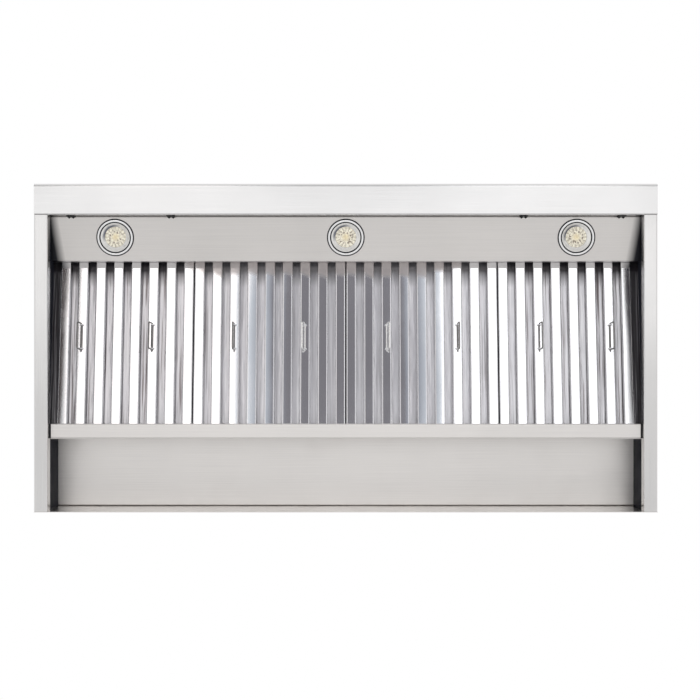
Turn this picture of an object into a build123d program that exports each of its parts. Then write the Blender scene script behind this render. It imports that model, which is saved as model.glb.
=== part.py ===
"""Range hood insert: a wide steel liner, open below, that is built into a wooden or plaster hood.

Its pieces are folded from stainless sheet. The rim stands on z = 0, the front faces -Y, and the
origin is the middle of the rim. Seen from below, from front to rear: the rim lip, the panel with
three round lamps, four baffle filters that slope down to a grease trough, and a plain deep panel.
Above the filters a plenum holds a twin inlet blower, which blows up through a round collar.
"""

import os
from math import cos, radians, sin, tan

from build123d import *

os.makedirs("parts", exist_ok=True)

# Driving dimensions, in millimetres and degrees ------------------------------------------------

# Flats around the plain rolled rings, the small tubes and the wire pins
rolled_sides = 18
tube_sides = 12
pin_sides = 8

# Shell
hood_width = 1178
hood_depth = 621
tray_height = 176
sheet = 1.2
seam = 0.2
fold = 3.0
rim_fold = 5.0
top_flange = 18
lip_width = 58.8
lip_return = 44
side_flange = 26
side_return = 28
lining_low = 8

# Light panel and its clips
light_front_z = 34
light_slope = 12
light_depth = 85.5
light_flange = 12
left_clip_insets = (65.5, 256)
right_clip_insets = (250, 64)
clip_width = 16
clip_height = 14
clip_tooth = 5.3

# Lamps
lamp_inset = 148
lamp_count = 3
lamp_setback = 40.1
bezel_radius = 35.5
bezel_bore = 29.6
bezel_proud = 2.6
bezel_taper = 45
lens_radius = 20
lens_thickness = 2
lens_recess = 5
module_height = 24
flare_angle = 48
lamp_box_height = 32
lamp_box_sheet = 1.0

# Filters
filter_count = 4
filter_edge = 3
filter_gap = 3
filter_hidden = 43.5
filter_slope = 9.5
filter_travel = 27
filter_sheet = 1.0
filter_fit = 0.1
ridge_count = 9
ridge_margin = 10.5
ridge_width = 15.6
baffle_leg = 9
baffle_sheet = 0.8
baffle_fold = 0.8
rear_baffle_width = 24.4
end_channel = 14
face_z_at_trough = 34

# Handles
handle_ridge_count = 2
handle_length = 54
handle_drop = 26.5
handle_wire = 3.0
handle_bend = 6.0
handle_pivot = 4
pin_fit = 0.08
pin_length = 7
lug_thickness = 1.6
lug_width = 8

# Grease trough and deep rear panel
recess_depth = 166.5
trough_width = 27.6
trough_floor_z = 20
trough_rear = 40
trough_end = 3
recess_z = 130
header_grip = 12

# Plenum, collar and damper
plenum_y = 30
plenum_side = 259
plenum_depth = 380
plenum_height = 190
plenum_flange = 16
collar_radius = 127
collar_height = 50
collar_sheet = 1.0
collar_flange = 16
ledge_width = 8
damper_pin_radius = 2.0
damper_pin_spacing = 8
damper_pin_lift = 16
damper_sheet = 0.8
damper_knuckle = 1.2
damper_gap = 4
knuckle_length = 220

# Blower
impeller_radius = 80
impeller_width = 190
impeller_sheet = 1.5
blade_count = 18
blade_thickness = 1.2
blade_depth = 13
blade_angle = 35
hub_radius = 12
hub_length = 30
shaft_radius = 5
shaft_fit = 0.05
scroll_start = 90
scroll_end = 134
scroll_first_angle = 100
scroll_last_angle = -180
scroll_steps = 16
scroll_side_gap = 8
scroll_drop = 105
scroll_inlet = 66
inlet_flange = 8
inlet_depth = 8
motor_radius = 45
motor_length = 92
motor_chamfer = 6
motor_gap = 5
arm_count = 3
arm_width = 14
arm_sheet = 2.0
arm_foot = 8

# Electrical pieces on the top
box_length = 120
box_depth = 100
box_height = 48
box_inset = 159
box_y = 60
cover_skirt = 8
gland_bore = 5.5
gland_outer = 9
gland_nut = 13
gland_length = 24
driver_length = 180
driver_depth = 60
driver_height = 32
driver_inset = 129
driver_y = 60
driver_ear = 14
conduit_radius = 8
conduit_lift = 24

# Mounting and fasteners
hanger_hole = 4.5
hanger_side = 49
hanger_end = 48.5
hanger_plate = 60
hanger_sheet = 3
bolt_radius = 4
bolt_head = 3
edge_bolt_count = 5
plenum_bolt_count = 3

# Places worked out from the dimensions ---------------------------------------------------------

half_width = hood_width / 2
half_depth = hood_depth / 2
front_y = -half_depth
flange_top_z = tray_height - sheet
lip_y = front_y + lip_width
inner_x = half_width - side_flange
rear_inner_y = half_depth - sheet - seam
wall_front_y = front_y + sheet + seam
wall_inner_x = half_width - sheet - seam
lining_x = inner_x + sheet + seam
panel_half = inner_x + sheet
plenum_width = hood_width - 2 * plenum_side
hanger_x = half_width - hanger_side
hanger_y = half_depth - hanger_end
box_x = half_width - box_inset
driver_x = driver_inset - half_width

light_front_y = lip_y + seam
light_rear_y = light_front_y + light_depth
light_tan = tan(radians(light_slope))
light_cos = cos(radians(light_slope))
light_sin = sin(radians(light_slope))
light_rear_z = light_front_z + light_depth * light_tan
lamp_y = light_front_y + lamp_setback
lamp_z = light_front_z + lamp_setback * light_tan
lamp_spacing = 2 * (half_width - lamp_inset) / (lamp_count - 1)
left_clips = [inset - half_width for inset in left_clip_insets]
clip_centres = left_clips + [half_width - inset for inset in right_clip_insets]

slope_tan = tan(radians(filter_slope))
slope_cos = cos(radians(filter_slope))
slope_sin = sin(radians(filter_slope))
trough_front_y = half_depth - recess_depth
trough_rear_y = trough_front_y + trough_width
filter_pitch = (hood_width - 2 * filter_edge) / filter_count
filter_half = (filter_pitch - filter_gap) / 2
filter_thickness = 2 * baffle_leg
filter_skin = filter_sheet + filter_fit
filter_lean = (filter_thickness + filter_skin) * slope_sin
filter_end_y = trough_rear_y - sheet - filter_lean - 2 * seam
filter_length = (filter_end_y - light_rear_y) / slope_cos + filter_hidden
filter_centres = [filter_pitch * (i - (filter_count - 1) / 2) for i in range(filter_count)]
ridge_pitch = (filter_pitch - 2 * ridge_margin) / (ridge_count - 1)
ridge_offsets = [ridge_pitch * (i - (ridge_count - 1) / 2) for i in range(ridge_count)]
handle_ridge = handle_ridge_count * ridge_pitch

plenum_top_z = tray_height + plenum_height
ceiling_z = plenum_top_z - sheet - seam
collar_bore = collar_radius - collar_sheet
pin_z = plenum_top_z + damper_pin_lift


def face_z(y):
    """Height of the filters' visible face at a place from front to rear."""
    return face_z_at_trough + (trough_front_y - y) * slope_tan


def filter_plane(x, along=0.0):
    """Plane across a filter: local x to the right, y up out of its face, normal up the slope."""
    origin = (x, filter_end_y - along * slope_cos, face_z(filter_end_y) + along * slope_sin)
    return Plane(origin=origin, x_dir=(1, 0, 0), z_dir=(0, -slope_cos, slope_sin))


def folded(points, radius=fold, thickness=sheet):
    """Section of a sheet folded along the points, with its metal on their left."""
    with BuildLine() as path:
        FilletPolyline(*points, radius=radius)
        offset(amount=thickness, side=Side.LEFT)
    make_face(path.edges())


def keep(piece, name):
    """Names a finished piece and writes it to its own file."""
    piece.label = name
    export_step(piece, f"parts/{name}.step")


# Shell -----------------------------------------------------------------------------------------

with BuildPart() as front_panel:
    with BuildSketch(Plane.YZ):
        folded(
            [(front_y, flange_top_z), (front_y, 0), (lip_y, 0), (lip_y, lip_return)],
            radius=[rim_fold, fold],
        )
    extrude(amount=wall_inner_x, both=True)
    with BuildSketch(Plane.YZ):
        folded(
            [(front_y, flange_top_z), (front_y, 0), (lip_y - fold - seam, 0)],
            radius=rim_fold,
        )
    extrude(amount=half_width, both=True)
    with BuildSketch(Plane.YZ):
        folded(
            [
                (front_y + top_flange, flange_top_z),
                (front_y, flange_top_z),
                (front_y, flange_top_z - top_flange),
            ]
        )
    extrude(amount=half_width - top_flange - seam, both=True)
keep(front_panel.part, "front_panel")

with BuildPart() as right_side_panel:
    with BuildSketch(Plane.XZ.offset(-rear_inner_y)):
        folded(
            [
                (inner_x, side_return),
                (inner_x, 0),
                (half_width, 0),
                (half_width, flange_top_z),
                (half_width - top_flange, flange_top_z),
            ]
        )
    extrude(amount=rear_inner_y - lip_y - seam)
    with BuildSketch(Plane.YZ.offset(half_width)):
        with BuildLine():
            Polyline(
                (wall_front_y, flange_top_z - fold),
                (wall_front_y, 2 * rim_fold),
                (wall_front_y + rim_fold, sheet + seam),
                (lip_y - fold, sheet + seam),
                (lip_y + fold, rim_fold),
                (lip_y + fold, flange_top_z - fold),
                close=True,
            )
        make_face()
    extrude(amount=-sheet)
keep(right_side_panel.part, "right_side_panel")

with BuildPart() as left_side_panel:
    mirror(right_side_panel.part, about=Plane.YZ)
keep(left_side_panel.part, "left_side_panel")

with BuildPart() as rear_panel:
    with BuildSketch(Plane.XZ.offset(-half_depth)):
        with Locations((0, (flange_top_z - fold) / 2)):
            Rectangle(hood_width, flange_top_z - fold)
    extrude(amount=sheet)
    with BuildSketch(Plane.YZ):
        folded(
            [
                (half_depth, flange_top_z - top_flange),
                (half_depth, flange_top_z),
                (half_depth - top_flange, flange_top_z),
            ]
        )
    extrude(amount=half_width - top_flange - seam, both=True)
keep(rear_panel.part, "rear_panel")

with BuildPart() as top_panel:
    with BuildSketch(Plane.XY.offset(flange_top_z)):
        Rectangle(hood_width, hood_depth)
        with Locations((0, plenum_y)):
            Rectangle(plenum_width - 2 * sheet, plenum_depth - 2 * sheet, mode=Mode.SUBTRACT)
        with GridLocations(2 * hanger_x, 2 * hanger_y, 2, 2):
            Rectangle(3 * hanger_hole, 3 * hanger_hole, mode=Mode.SUBTRACT)
    extrude(amount=sheet)
keep(top_panel.part, "top_panel")

with BuildPart() as hanger_plates:
    with BuildSketch(Plane.XY.offset(tray_height)):
        with GridLocations(2 * hanger_x, 2 * hanger_y, 2, 2):
            Rectangle(hanger_plate, hanger_plate)
            Circle(hanger_hole, mode=Mode.SUBTRACT)
    extrude(amount=hanger_sheet)
keep(hanger_plates.part, "hanger_plates")

# The linings close the sides below the filters and carry the ends of the panels.
lining_gap = filter_skin + sheet + 3 * seam
with BuildPart() as right_side_lining:
    with BuildSketch(Plane.YZ.offset(lining_x)):
        with BuildLine():
            Polyline(
                (lip_y + seam, lining_low),
                (rear_inner_y - seam, lining_low),
                (rear_inner_y - seam, recess_z + top_flange),
                (trough_rear_y + seam, recess_z + top_flange),
                (trough_rear_y + seam, trough_floor_z),
                (trough_front_y, face_z(trough_rear_y) - lining_gap),
                (trough_front_y, face_z(trough_front_y) - lining_gap),
                (lip_y + seam, face_z(lip_y) - lining_gap),
                close=True,
            )
        make_face()
    extrude(amount=sheet)
keep(right_side_lining.part, "right_side_lining")

with BuildPart() as left_side_lining:
    mirror(right_side_lining.part, about=Plane.YZ)
keep(left_side_lining.part, "left_side_lining")

# Deep rear panel and grease trough -------------------------------------------------------------

recess_front_y = trough_rear_y + seam + sheet
with BuildPart() as recess_panel:
    with BuildSketch(Plane.YZ):
        folded(
            [
                (recess_front_y, side_return + seam),
                (recess_front_y, recess_z),
                (rear_inner_y, recess_z),
                (rear_inner_y, recess_z + top_flange),
            ]
        )
    extrude(amount=panel_half, both=True)
keep(recess_panel.part, "recess_panel")

trough_half = inner_x - trough_end
lip_top_z = face_z(trough_front_y) - (filter_skin + seam) / slope_cos
with BuildPart() as grease_trough:
    with BuildSketch(Plane.YZ):
        folded(
            [
                (trough_front_y, lip_top_z),
                (trough_front_y, trough_floor_z),
                (trough_rear_y, trough_floor_z),
                (trough_rear_y, trough_floor_z + trough_rear),
            ]
        )
    extrude(amount=trough_half, both=True)
keep(grease_trough.part, "grease_trough")

cap_length = trough_end - 2 * seam
cap_height = face_z(trough_rear_y) - lining_gap - trough_floor_z
with BuildPart() as trough_end_caps:
    with BuildSketch(Plane.YZ.offset(trough_half + seam)):
        with Locations((trough_front_y + trough_width / 2, trough_floor_z + cap_height / 2)):
            Rectangle(trough_width, cap_height)
    extrude(amount=cap_length)
    mirror(about=Plane.YZ)
keep(trough_end_caps.part, "trough_end_caps")

# Light panel -----------------------------------------------------------------------------------

header_under_z = face_z(light_rear_y) - (filter_skin + seam + sheet) / slope_cos
light_plane = Plane(origin=(0, lamp_y, lamp_z), x_dir=(1, 0, 0), z_dir=(0, -light_sin, light_cos))
lamp_places = [(lamp_spacing * (i - (lamp_count - 1) / 2), 0) for i in range(lamp_count)]
lamp_hole = bezel_bore + seam

with BuildPart() as light_panel:
    with BuildSketch(Plane.YZ):
        folded(
            [
                (light_front_y, light_front_z + light_flange),
                (light_front_y, light_front_z),
                (light_rear_y, light_rear_z),
                (light_rear_y, header_under_z - seam),
            ]
        )
    extrude(amount=panel_half, both=True)
    with BuildSketch(light_plane):
        with Locations(*lamp_places):
            RegularPolygon(lamp_hole, rolled_sides, major_radius=False)
    extrude(amount=4 * sheet, both=True, mode=Mode.SUBTRACT)
keep(light_panel.part, "light_panel")

# Each clip grips the panel's front edge from inside the lip, and shows only its two teeth.
clip_top_z = light_front_z - seam
with BuildPart() as panel_clips:
    with BuildSketch(Plane.XZ.offset(-lip_y - seam)):
        with Locations(*[(x, clip_top_z - clip_height / 2) for x in clip_centres]):
            Rectangle(clip_width, clip_height)
    extrude(amount=-sheet)
    with BuildSketch(Plane.XY.offset(clip_top_z - sheet)):
        for x in clip_centres:
            for side in (-1, 1):
                with BuildLine():
                    Polyline(
                        (x, lip_y + sheet),
                        (x + side * clip_width / 2, lip_y + sheet),
                        (x + side * clip_width / 4, lip_y + clip_tooth),
                        close=True,
                    )
                make_face()
    extrude(amount=sheet)
keep(panel_clips.part, "panel_clips")

# Upper channel that the filters push up into.
header_end = filter_length + filter_travel + 2 * filter_fit
header_start = (filter_end_y - light_rear_y) / slope_cos
header_low = -filter_skin - seam
header_high = filter_thickness + filter_skin + seam
with BuildPart() as filter_header:
    header_plane = Plane(
        origin=filter_plane(0).origin, x_dir=(0, -slope_cos, slope_sin), z_dir=(-1, 0, 0)
    )
    with BuildSketch(header_plane):
        with BuildLine():
            Polyline(
                (filter_length - header_grip, header_high),
                (header_end, header_high),
                (header_end, header_low),
                (header_start, header_low),
                (header_start, header_low - sheet),
                (header_end + sheet, header_low - sheet),
                (header_end + sheet, header_high + sheet),
                (filter_length - header_grip, header_high + sheet),
                close=True,
            )
        make_face()
    extrude(amount=wall_inner_x, both=True)
keep(filter_header.part, "filter_header")

# Lamps -----------------------------------------------------------------------------------------

with BuildPart() as lamp_bezels:
    with BuildSketch(light_plane.offset(-seam / 2)):
        with Locations(*lamp_places):
            RegularPolygon(bezel_radius, rolled_sides)
    extrude(amount=seam / 2 - bezel_proud, taper=bezel_taper)
    with BuildSketch(light_plane):
        with Locations(*lamp_places):
            RegularPolygon(bezel_bore, rolled_sides)
    extrude(amount=-2 * bezel_proud, mode=Mode.SUBTRACT)
keep(lamp_bezels.part, "lamp_bezels")

flare_depth = lens_recess + lens_thickness + seam / 2
with BuildPart() as lamp_modules:
    with BuildSketch(light_plane):
        with Locations(*lamp_places):
            RegularPolygon(bezel_bore - seam, rolled_sides)
    extrude(amount=module_height)
    with BuildSketch(light_plane):
        with Locations(*lamp_places):
            RegularPolygon(bezel_bore - 4 * seam, rolled_sides)
    extrude(amount=flare_depth, taper=flare_angle, mode=Mode.SUBTRACT)
keep(lamp_modules.part, "lamp_modules")

with BuildPart() as lamp_lenses:
    with BuildSketch(light_plane.offset(lens_recess)):
        with Locations(*lamp_places):
            RegularPolygon(lens_radius, rolled_sides)
    extrude(amount=lens_thickness)
keep(lamp_lenses.part, "lamp_lenses")

lamp_box_side = 2 * (bezel_radius - lamp_box_sheet)
with BuildPart() as lamp_boxes:
    with BuildSketch(light_plane.offset(sheet + seam / 2)):
        with Locations(*lamp_places):
            Rectangle(lamp_box_side, lamp_box_side)
    extrude(amount=lamp_box_height)
    with BuildSketch(light_plane):
        with Locations(*lamp_places):
            Rectangle(lamp_box_side - 2 * lamp_box_sheet, lamp_box_side - 2 * lamp_box_sheet)
    extrude(amount=lamp_box_height, mode=Mode.SUBTRACT)
keep(lamp_boxes.part, "lamp_boxes")

# Filters and their handles ---------------------------------------------------------------------

baffle_length = filter_length - 2 * filter_sheet - 2 * filter_fit
ridge_half = ridge_width / 2
rear_half = rear_baffle_width / 2
pin_radius = handle_wire / 2
handle_middle = filter_length / 2
handle_half = (handle_length - handle_wire) / 2
handle_outer = handle_half + pin_radius
handle_inner = handle_half - pin_radius
lug_outer = handle_inner - seam

for number, centre in enumerate(filter_centres, start=1):
    with BuildPart() as filter_frame:
        with BuildSketch(filter_plane(centre)):
            with Locations((0, filter_thickness / 2)):
                Rectangle(2 * filter_half, filter_thickness + 2 * filter_skin)
        extrude(amount=filter_length)
        with BuildSketch(filter_plane(centre, filter_sheet)):
            with Locations((0, filter_thickness / 2)):
                Rectangle(2 * (filter_half - filter_sheet), filter_thickness + 2 * filter_fit)
        extrude(amount=filter_length - 2 * filter_sheet, mode=Mode.SUBTRACT)
        with BuildSketch(filter_plane(centre, end_channel)):
            for face_y in (-filter_skin / 2, filter_thickness + filter_skin / 2):
                with Locations((0, face_y)):
                    Rectangle(2 * filter_half, filter_skin)
        extrude(amount=filter_length - 2 * end_channel, mode=Mode.SUBTRACT)
    keep(filter_frame.part, f"filter_{number}_frame")

    baffle_plane = filter_plane(centre, filter_sheet + filter_fit)
    with BuildPart() as front_baffles:
        with BuildSketch(baffle_plane):
            for x in ridge_offsets:
                with BuildLine():
                    Polyline(
                        (x - ridge_half, baffle_leg),
                        (x - ridge_half, baffle_fold),
                        (x - ridge_half + baffle_fold, 0),
                        (x + ridge_half - baffle_fold, 0),
                        (x + ridge_half, baffle_fold),
                        (x + ridge_half, baffle_leg),
                        (x + ridge_half - baffle_sheet, baffle_leg),
                        (x + ridge_half - baffle_sheet, baffle_sheet),
                        (x - ridge_half + baffle_sheet, baffle_sheet),
                        (x - ridge_half + baffle_sheet, baffle_leg),
                        close=True,
                    )
                make_face()
        extrude(amount=baffle_length)
        for start in (-lug_outer, lug_outer - lug_thickness):
            with BuildSketch(filter_plane(centre, handle_middle + start)):
                with Locations((-handle_ridge, 0), (handle_ridge, 0)):
                    Polygon(
                        (-lug_width / 2, 0),
                        (-lug_width / 3, -handle_pivot - lug_width / 2),
                        (lug_width / 3, -handle_pivot - lug_width / 2),
                        (lug_width / 2, 0),
                        align=None,
                    )
                with Locations((-handle_ridge, -handle_pivot), (handle_ridge, -handle_pivot)):
                    RegularPolygon(
                        pin_radius + pin_fit, pin_sides, major_radius=False, mode=Mode.SUBTRACT
                    )
            extrude(amount=lug_thickness)
    keep(front_baffles.part, f"filter_{number}_front_baffles")

    with BuildPart() as rear_baffles:
        with BuildSketch(baffle_plane):
            for x in ridge_offsets[:-1]:
                middle = x + ridge_pitch / 2
                with BuildLine():
                    Polyline(
                        (middle + rear_half, filter_thickness - baffle_leg),
                        (middle + rear_half, filter_thickness),
                        (middle - rear_half, filter_thickness),
                        (middle - rear_half, filter_thickness - baffle_leg),
                        (middle - rear_half + baffle_sheet, filter_thickness - baffle_leg),
                        (middle - rear_half + baffle_sheet, filter_thickness - baffle_sheet),
                        (middle + rear_half - baffle_sheet, filter_thickness - baffle_sheet),
                        (middle + rear_half - baffle_sheet, filter_thickness - baffle_leg),
                        close=True,
                    )
                make_face()
        extrude(amount=baffle_length)
    keep(rear_baffles.part, f"filter_{number}_rear_baffles")

    for side, x in (("left", centre - handle_ridge), ("right", centre + handle_ridge)):
        middle_origin = filter_plane(x, handle_middle).origin
        bail_plane = Plane(
            origin=middle_origin, x_dir=(0, -slope_cos, slope_sin), z_dir=(-1, 0, 0)
        )
        with BuildPart() as handle:
            with BuildSketch(bail_plane.offset(-handle_wire / 2)):
                with BuildLine():
                    Polyline(
                        (-handle_outer, -handle_pivot + pin_radius),
                        (-handle_outer, -handle_drop + handle_bend),
                        (-handle_outer + handle_bend, -handle_drop),
                        (handle_outer - handle_bend, -handle_drop),
                        (handle_outer, -handle_drop + handle_bend),
                        (handle_outer, -handle_pivot + pin_radius),
                        (handle_inner, -handle_pivot + pin_radius),
                        (handle_inner, -handle_drop + handle_bend + pin_radius),
                        (handle_outer - handle_bend - pin_radius, -handle_drop + handle_wire),
                        (-handle_outer + handle_bend + pin_radius, -handle_drop + handle_wire),
                        (-handle_inner, -handle_drop + handle_bend + pin_radius),
                        (-handle_inner, -handle_pivot + pin_radius),
                        close=True,
                    )
                make_face()
            extrude(amount=handle_wire)
            for start in (-handle_half, handle_half - pin_length):
                with BuildSketch(filter_plane(x, handle_middle + start)):
                    with Locations((0, -handle_pivot)):
                        RegularPolygon(pin_radius, pin_sides)
                extrude(amount=pin_length)
        keep(handle.part, f"filter_{number}_{side}_handle")

# Plenum, collar and damper ---------------------------------------------------------------------

with BuildPart() as plenum_casing:
    with BuildSketch(Plane.XY.offset(tray_height)):
        with Locations((0, plenum_y)):
            Rectangle(plenum_width + 2 * plenum_flange, plenum_depth + 2 * plenum_flange)
    extrude(amount=sheet)
    with BuildSketch(Plane.XY.offset(tray_height)):
        with Locations((0, plenum_y)):
            Rectangle(plenum_width, plenum_depth)
    extrude(amount=plenum_height)
    chamfer(plenum_casing.faces().sort_by(Axis.Z)[-1].edges(), length=sheet / 2)
    with BuildSketch(Plane.XY.offset(tray_height)):
        with Locations((0, plenum_y)):
            Rectangle(plenum_width - 2 * sheet, plenum_depth - 2 * sheet)
    extrude(amount=plenum_height - sheet, mode=Mode.SUBTRACT)
    with BuildSketch(Plane.XY.offset(plenum_top_z)):
        with Locations((0, plenum_y)):
            Circle(collar_bore)
    extrude(amount=-2 * sheet, mode=Mode.SUBTRACT)
keep(plenum_casing.part, "plenum_casing")

ledge_top = pin_z - damper_sheet / 2 - seam
with BuildPart() as duct_collar:
    with BuildSketch(Plane.XY.offset(plenum_top_z)):
        with Locations((0, plenum_y)):
            Rectangle(2 * (collar_radius + collar_flange), 2 * (collar_radius + collar_flange))
            Circle(collar_bore, mode=Mode.SUBTRACT)
    extrude(amount=collar_sheet)
    with BuildSketch(Plane.XY.offset(plenum_top_z)):
        with Locations((0, plenum_y)):
            Circle(collar_radius)
            Circle(collar_bore, mode=Mode.SUBTRACT)
    extrude(amount=collar_height)
    with BuildSketch(Plane.XY.offset(ledge_top)):
        with Locations((0, plenum_y)):
            with PolarLocations(collar_radius - ledge_width / 2, 4, start_angle=45):
                Rectangle(ledge_width - collar_sheet, ledge_width)
    extrude(amount=-collar_sheet)
    with BuildSketch(Plane.YZ):
        for side in (-1, 1):
            with Locations((plenum_y + side * damper_pin_spacing / 2, pin_z)):
                RegularPolygon(damper_pin_radius, pin_sides, major_radius=False)
    extrude(amount=collar_radius + collar_sheet, both=True, mode=Mode.SUBTRACT)
keep(duct_collar.part, "duct_collar")

with BuildPart() as damper_pins:
    with BuildSketch(Plane.YZ):
        for side in (-1, 1):
            with Locations((plenum_y + side * damper_pin_spacing / 2, pin_z)):
                RegularPolygon(damper_pin_radius, tube_sides)
    extrude(amount=collar_radius - 2 * seam, both=True)
keep(damper_pins.part, "damper_pins")

knuckle_radius = damper_pin_radius + shaft_fit + damper_knuckle
for name, side in (("front_damper_flap", -1), ("rear_damper_flap", 1)):
    hinge_y = plenum_y + side * damper_pin_spacing / 2
    with BuildPart() as flap:
        with BuildSketch(Plane.XY.offset(pin_z - damper_sheet / 2)):
            with Locations((0, plenum_y)):
                Circle(collar_bore - damper_gap)
            flap_edge = hinge_y + side * (knuckle_radius - damper_knuckle / 2)
            with Locations((0, flap_edge - side * collar_radius)):
                Rectangle(4 * collar_radius, 2 * collar_radius, mode=Mode.SUBTRACT)
        extrude(amount=damper_sheet)
        with BuildSketch(Plane.YZ):
            with Locations((hinge_y, pin_z)):
                RegularPolygon(knuckle_radius, pin_sides, major_radius=False)
        extrude(amount=knuckle_length / 2, both=True)
        with BuildSketch(Plane.YZ):
            with Locations((hinge_y, pin_z)):
                RegularPolygon(damper_pin_radius + shaft_fit, tube_sides, major_radius=False)
        extrude(amount=collar_radius, both=True, mode=Mode.SUBTRACT)
    keep(flap.part, name)

# Blower ----------------------------------------------------------------------------------------


def scroll_outline(inset=0.0):
    """Adds the scroll's closed outline to the open sketch: a growing spiral, then the outlet."""
    points = []
    for step in range(scroll_steps + 1):
        share = step / scroll_steps
        angle = scroll_first_angle + share * (scroll_last_angle - scroll_first_angle)
        radius = scroll_start + share * (scroll_end - scroll_start) - inset
        points.append(Vector(axle_y, axle_z) + Vector(radius, 0).rotate(Axis.Z, angle))
    corners = [*points, (points[-1].X, scroll_top_z), (points[0].X - inset, scroll_top_z)]
    if inset:
        corners.append((points[0].X - inset, points[0].Y))
    with BuildLine() as outline:
        Polyline(*corners, close=True)
    make_face(outline.edges())


tongue_offset = scroll_start * cos(radians(scroll_first_angle))
axle_y = plenum_y + (scroll_end - tongue_offset) / 2
axle_z = ceiling_z - scroll_drop
scroll_top_z = ceiling_z - sheet - seam / 2
scroll_half = impeller_width / 2 + scroll_side_gap + sheet
wrap_half = scroll_half - sheet - seam / 2
outlet_plate_width = 2 * (collar_radius + inlet_flange)

with BuildPart() as scroll_wrap:
    with BuildSketch(Plane.YZ):
        scroll_outline()
    extrude(amount=wrap_half, both=True)
    with BuildSketch(Plane.YZ):
        scroll_outline(inset=sheet)
    extrude(amount=scroll_half, both=True, mode=Mode.SUBTRACT)
keep(scroll_wrap.part, "scroll_wrap")

with BuildPart() as scroll_sides:
    with BuildSketch(Plane.YZ.offset(scroll_half - sheet)):
        scroll_outline()
        with Locations((axle_y, axle_z)):
            RegularPolygon(scroll_inlet, rolled_sides, mode=Mode.SUBTRACT)
    extrude(amount=sheet)
    mirror(about=Plane.YZ)
keep(scroll_sides.part, "scroll_sides")

with BuildPart() as outlet_plate:
    with BuildSketch(Plane.XY.offset(ceiling_z)):
        with Locations((0, plenum_y)):
            Rectangle(outlet_plate_width, outlet_plate_width)
            outlet_bore = scroll_end - tongue_offset - 2 * sheet
            Rectangle(2 * wrap_half, outlet_bore, mode=Mode.SUBTRACT)
    extrude(amount=-sheet)
keep(outlet_plate.part, "outlet_plate")

with BuildPart() as inlet_rings:
    with BuildSketch(Plane.YZ.offset(scroll_half + seam / 2)):
        with Locations((axle_y, axle_z)):
            RegularPolygon(scroll_inlet + inlet_flange, rolled_sides)
    extrude(amount=sheet)
    with BuildSketch(Plane.YZ.offset(scroll_half + seam / 2)):
        with Locations((axle_y, axle_z)):
            RegularPolygon(scroll_inlet - sheet, rolled_sides)
    extrude(amount=-inlet_depth)
    with BuildSketch(Plane.YZ.offset(scroll_half)):
        with Locations((axle_y, axle_z)):
            RegularPolygon(scroll_inlet - 2 * sheet, rolled_sides)
    extrude(amount=2 * inlet_depth, both=True, mode=Mode.SUBTRACT)
    mirror(about=Plane.YZ)
keep(inlet_rings.part, "inlet_rings")

blade_radius = impeller_radius - blade_depth / 2
blade_start = (impeller_sheet + seam) / 2
with BuildPart() as impeller_blades:
    with BuildSketch(Plane.YZ.offset(blade_start)):
        with Locations((axle_y, axle_z)):
            with PolarLocations(blade_radius, blade_count):
                Rectangle(blade_depth, blade_thickness, rotation=blade_angle)
    extrude(amount=impeller_width / 2 - impeller_sheet - blade_start)
    with BuildSketch(Plane.YZ.offset(impeller_width / 2)):
        with Locations((axle_y, axle_z)):
            RegularPolygon(impeller_radius, rolled_sides)
            RegularPolygon(impeller_radius - blade_depth, rolled_sides, mode=Mode.SUBTRACT)
    extrude(amount=-impeller_sheet)
    mirror(about=Plane.YZ)
keep(impeller_blades.part, "impeller_blades")

with BuildPart() as impeller:
    with BuildSketch(Plane.YZ):
        with Locations((axle_y, axle_z)):
            RegularPolygon(impeller_radius, rolled_sides)
    extrude(amount=impeller_sheet / 2, both=True)
    with BuildSketch(Plane.YZ):
        with Locations((axle_y, axle_z)):
            RegularPolygon(hub_radius, pin_sides)
    extrude(amount=hub_length / 2, both=True)
    with BuildSketch(Plane.YZ):
        with Locations((axle_y, axle_z)):
            RegularPolygon(shaft_radius, tube_sides)
    extrude(amount=hub_length, both=True, mode=Mode.SUBTRACT)
keep(impeller.part, "impeller")

motor_inner_x = -hub_length / 2 - motor_gap
motor_outer_x = motor_inner_x - motor_length
with BuildPart() as motor_shaft:
    with BuildSketch(Plane.YZ.offset(motor_outer_x - motor_gap)):
        with Locations((axle_y, axle_z)):
            RegularPolygon(shaft_radius, tube_sides)
    extrude(amount=hub_length / 2 - motor_outer_x + motor_gap)
keep(motor_shaft.part, "motor_shaft")

with BuildPart() as motor:
    with BuildSketch(Plane.YZ.offset(motor_outer_x)):
        with Locations((axle_y, axle_z)):
            RegularPolygon(motor_radius, rolled_sides)
    extrude(amount=motor_length)
    motor_ends = motor.faces().sort_by(Axis.X)[0].edges() + motor.faces().sort_by(Axis.X)[-1].edges()
    chamfer(motor_ends, length=motor_chamfer)
    with BuildSketch(Plane.YZ.offset(motor_outer_x)):
        with Locations((axle_y, axle_z)):
            RegularPolygon(shaft_radius + shaft_fit, tube_sides, major_radius=False)
    extrude(amount=motor_length, mode=Mode.SUBTRACT)
keep(motor.part, "motor")

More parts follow.
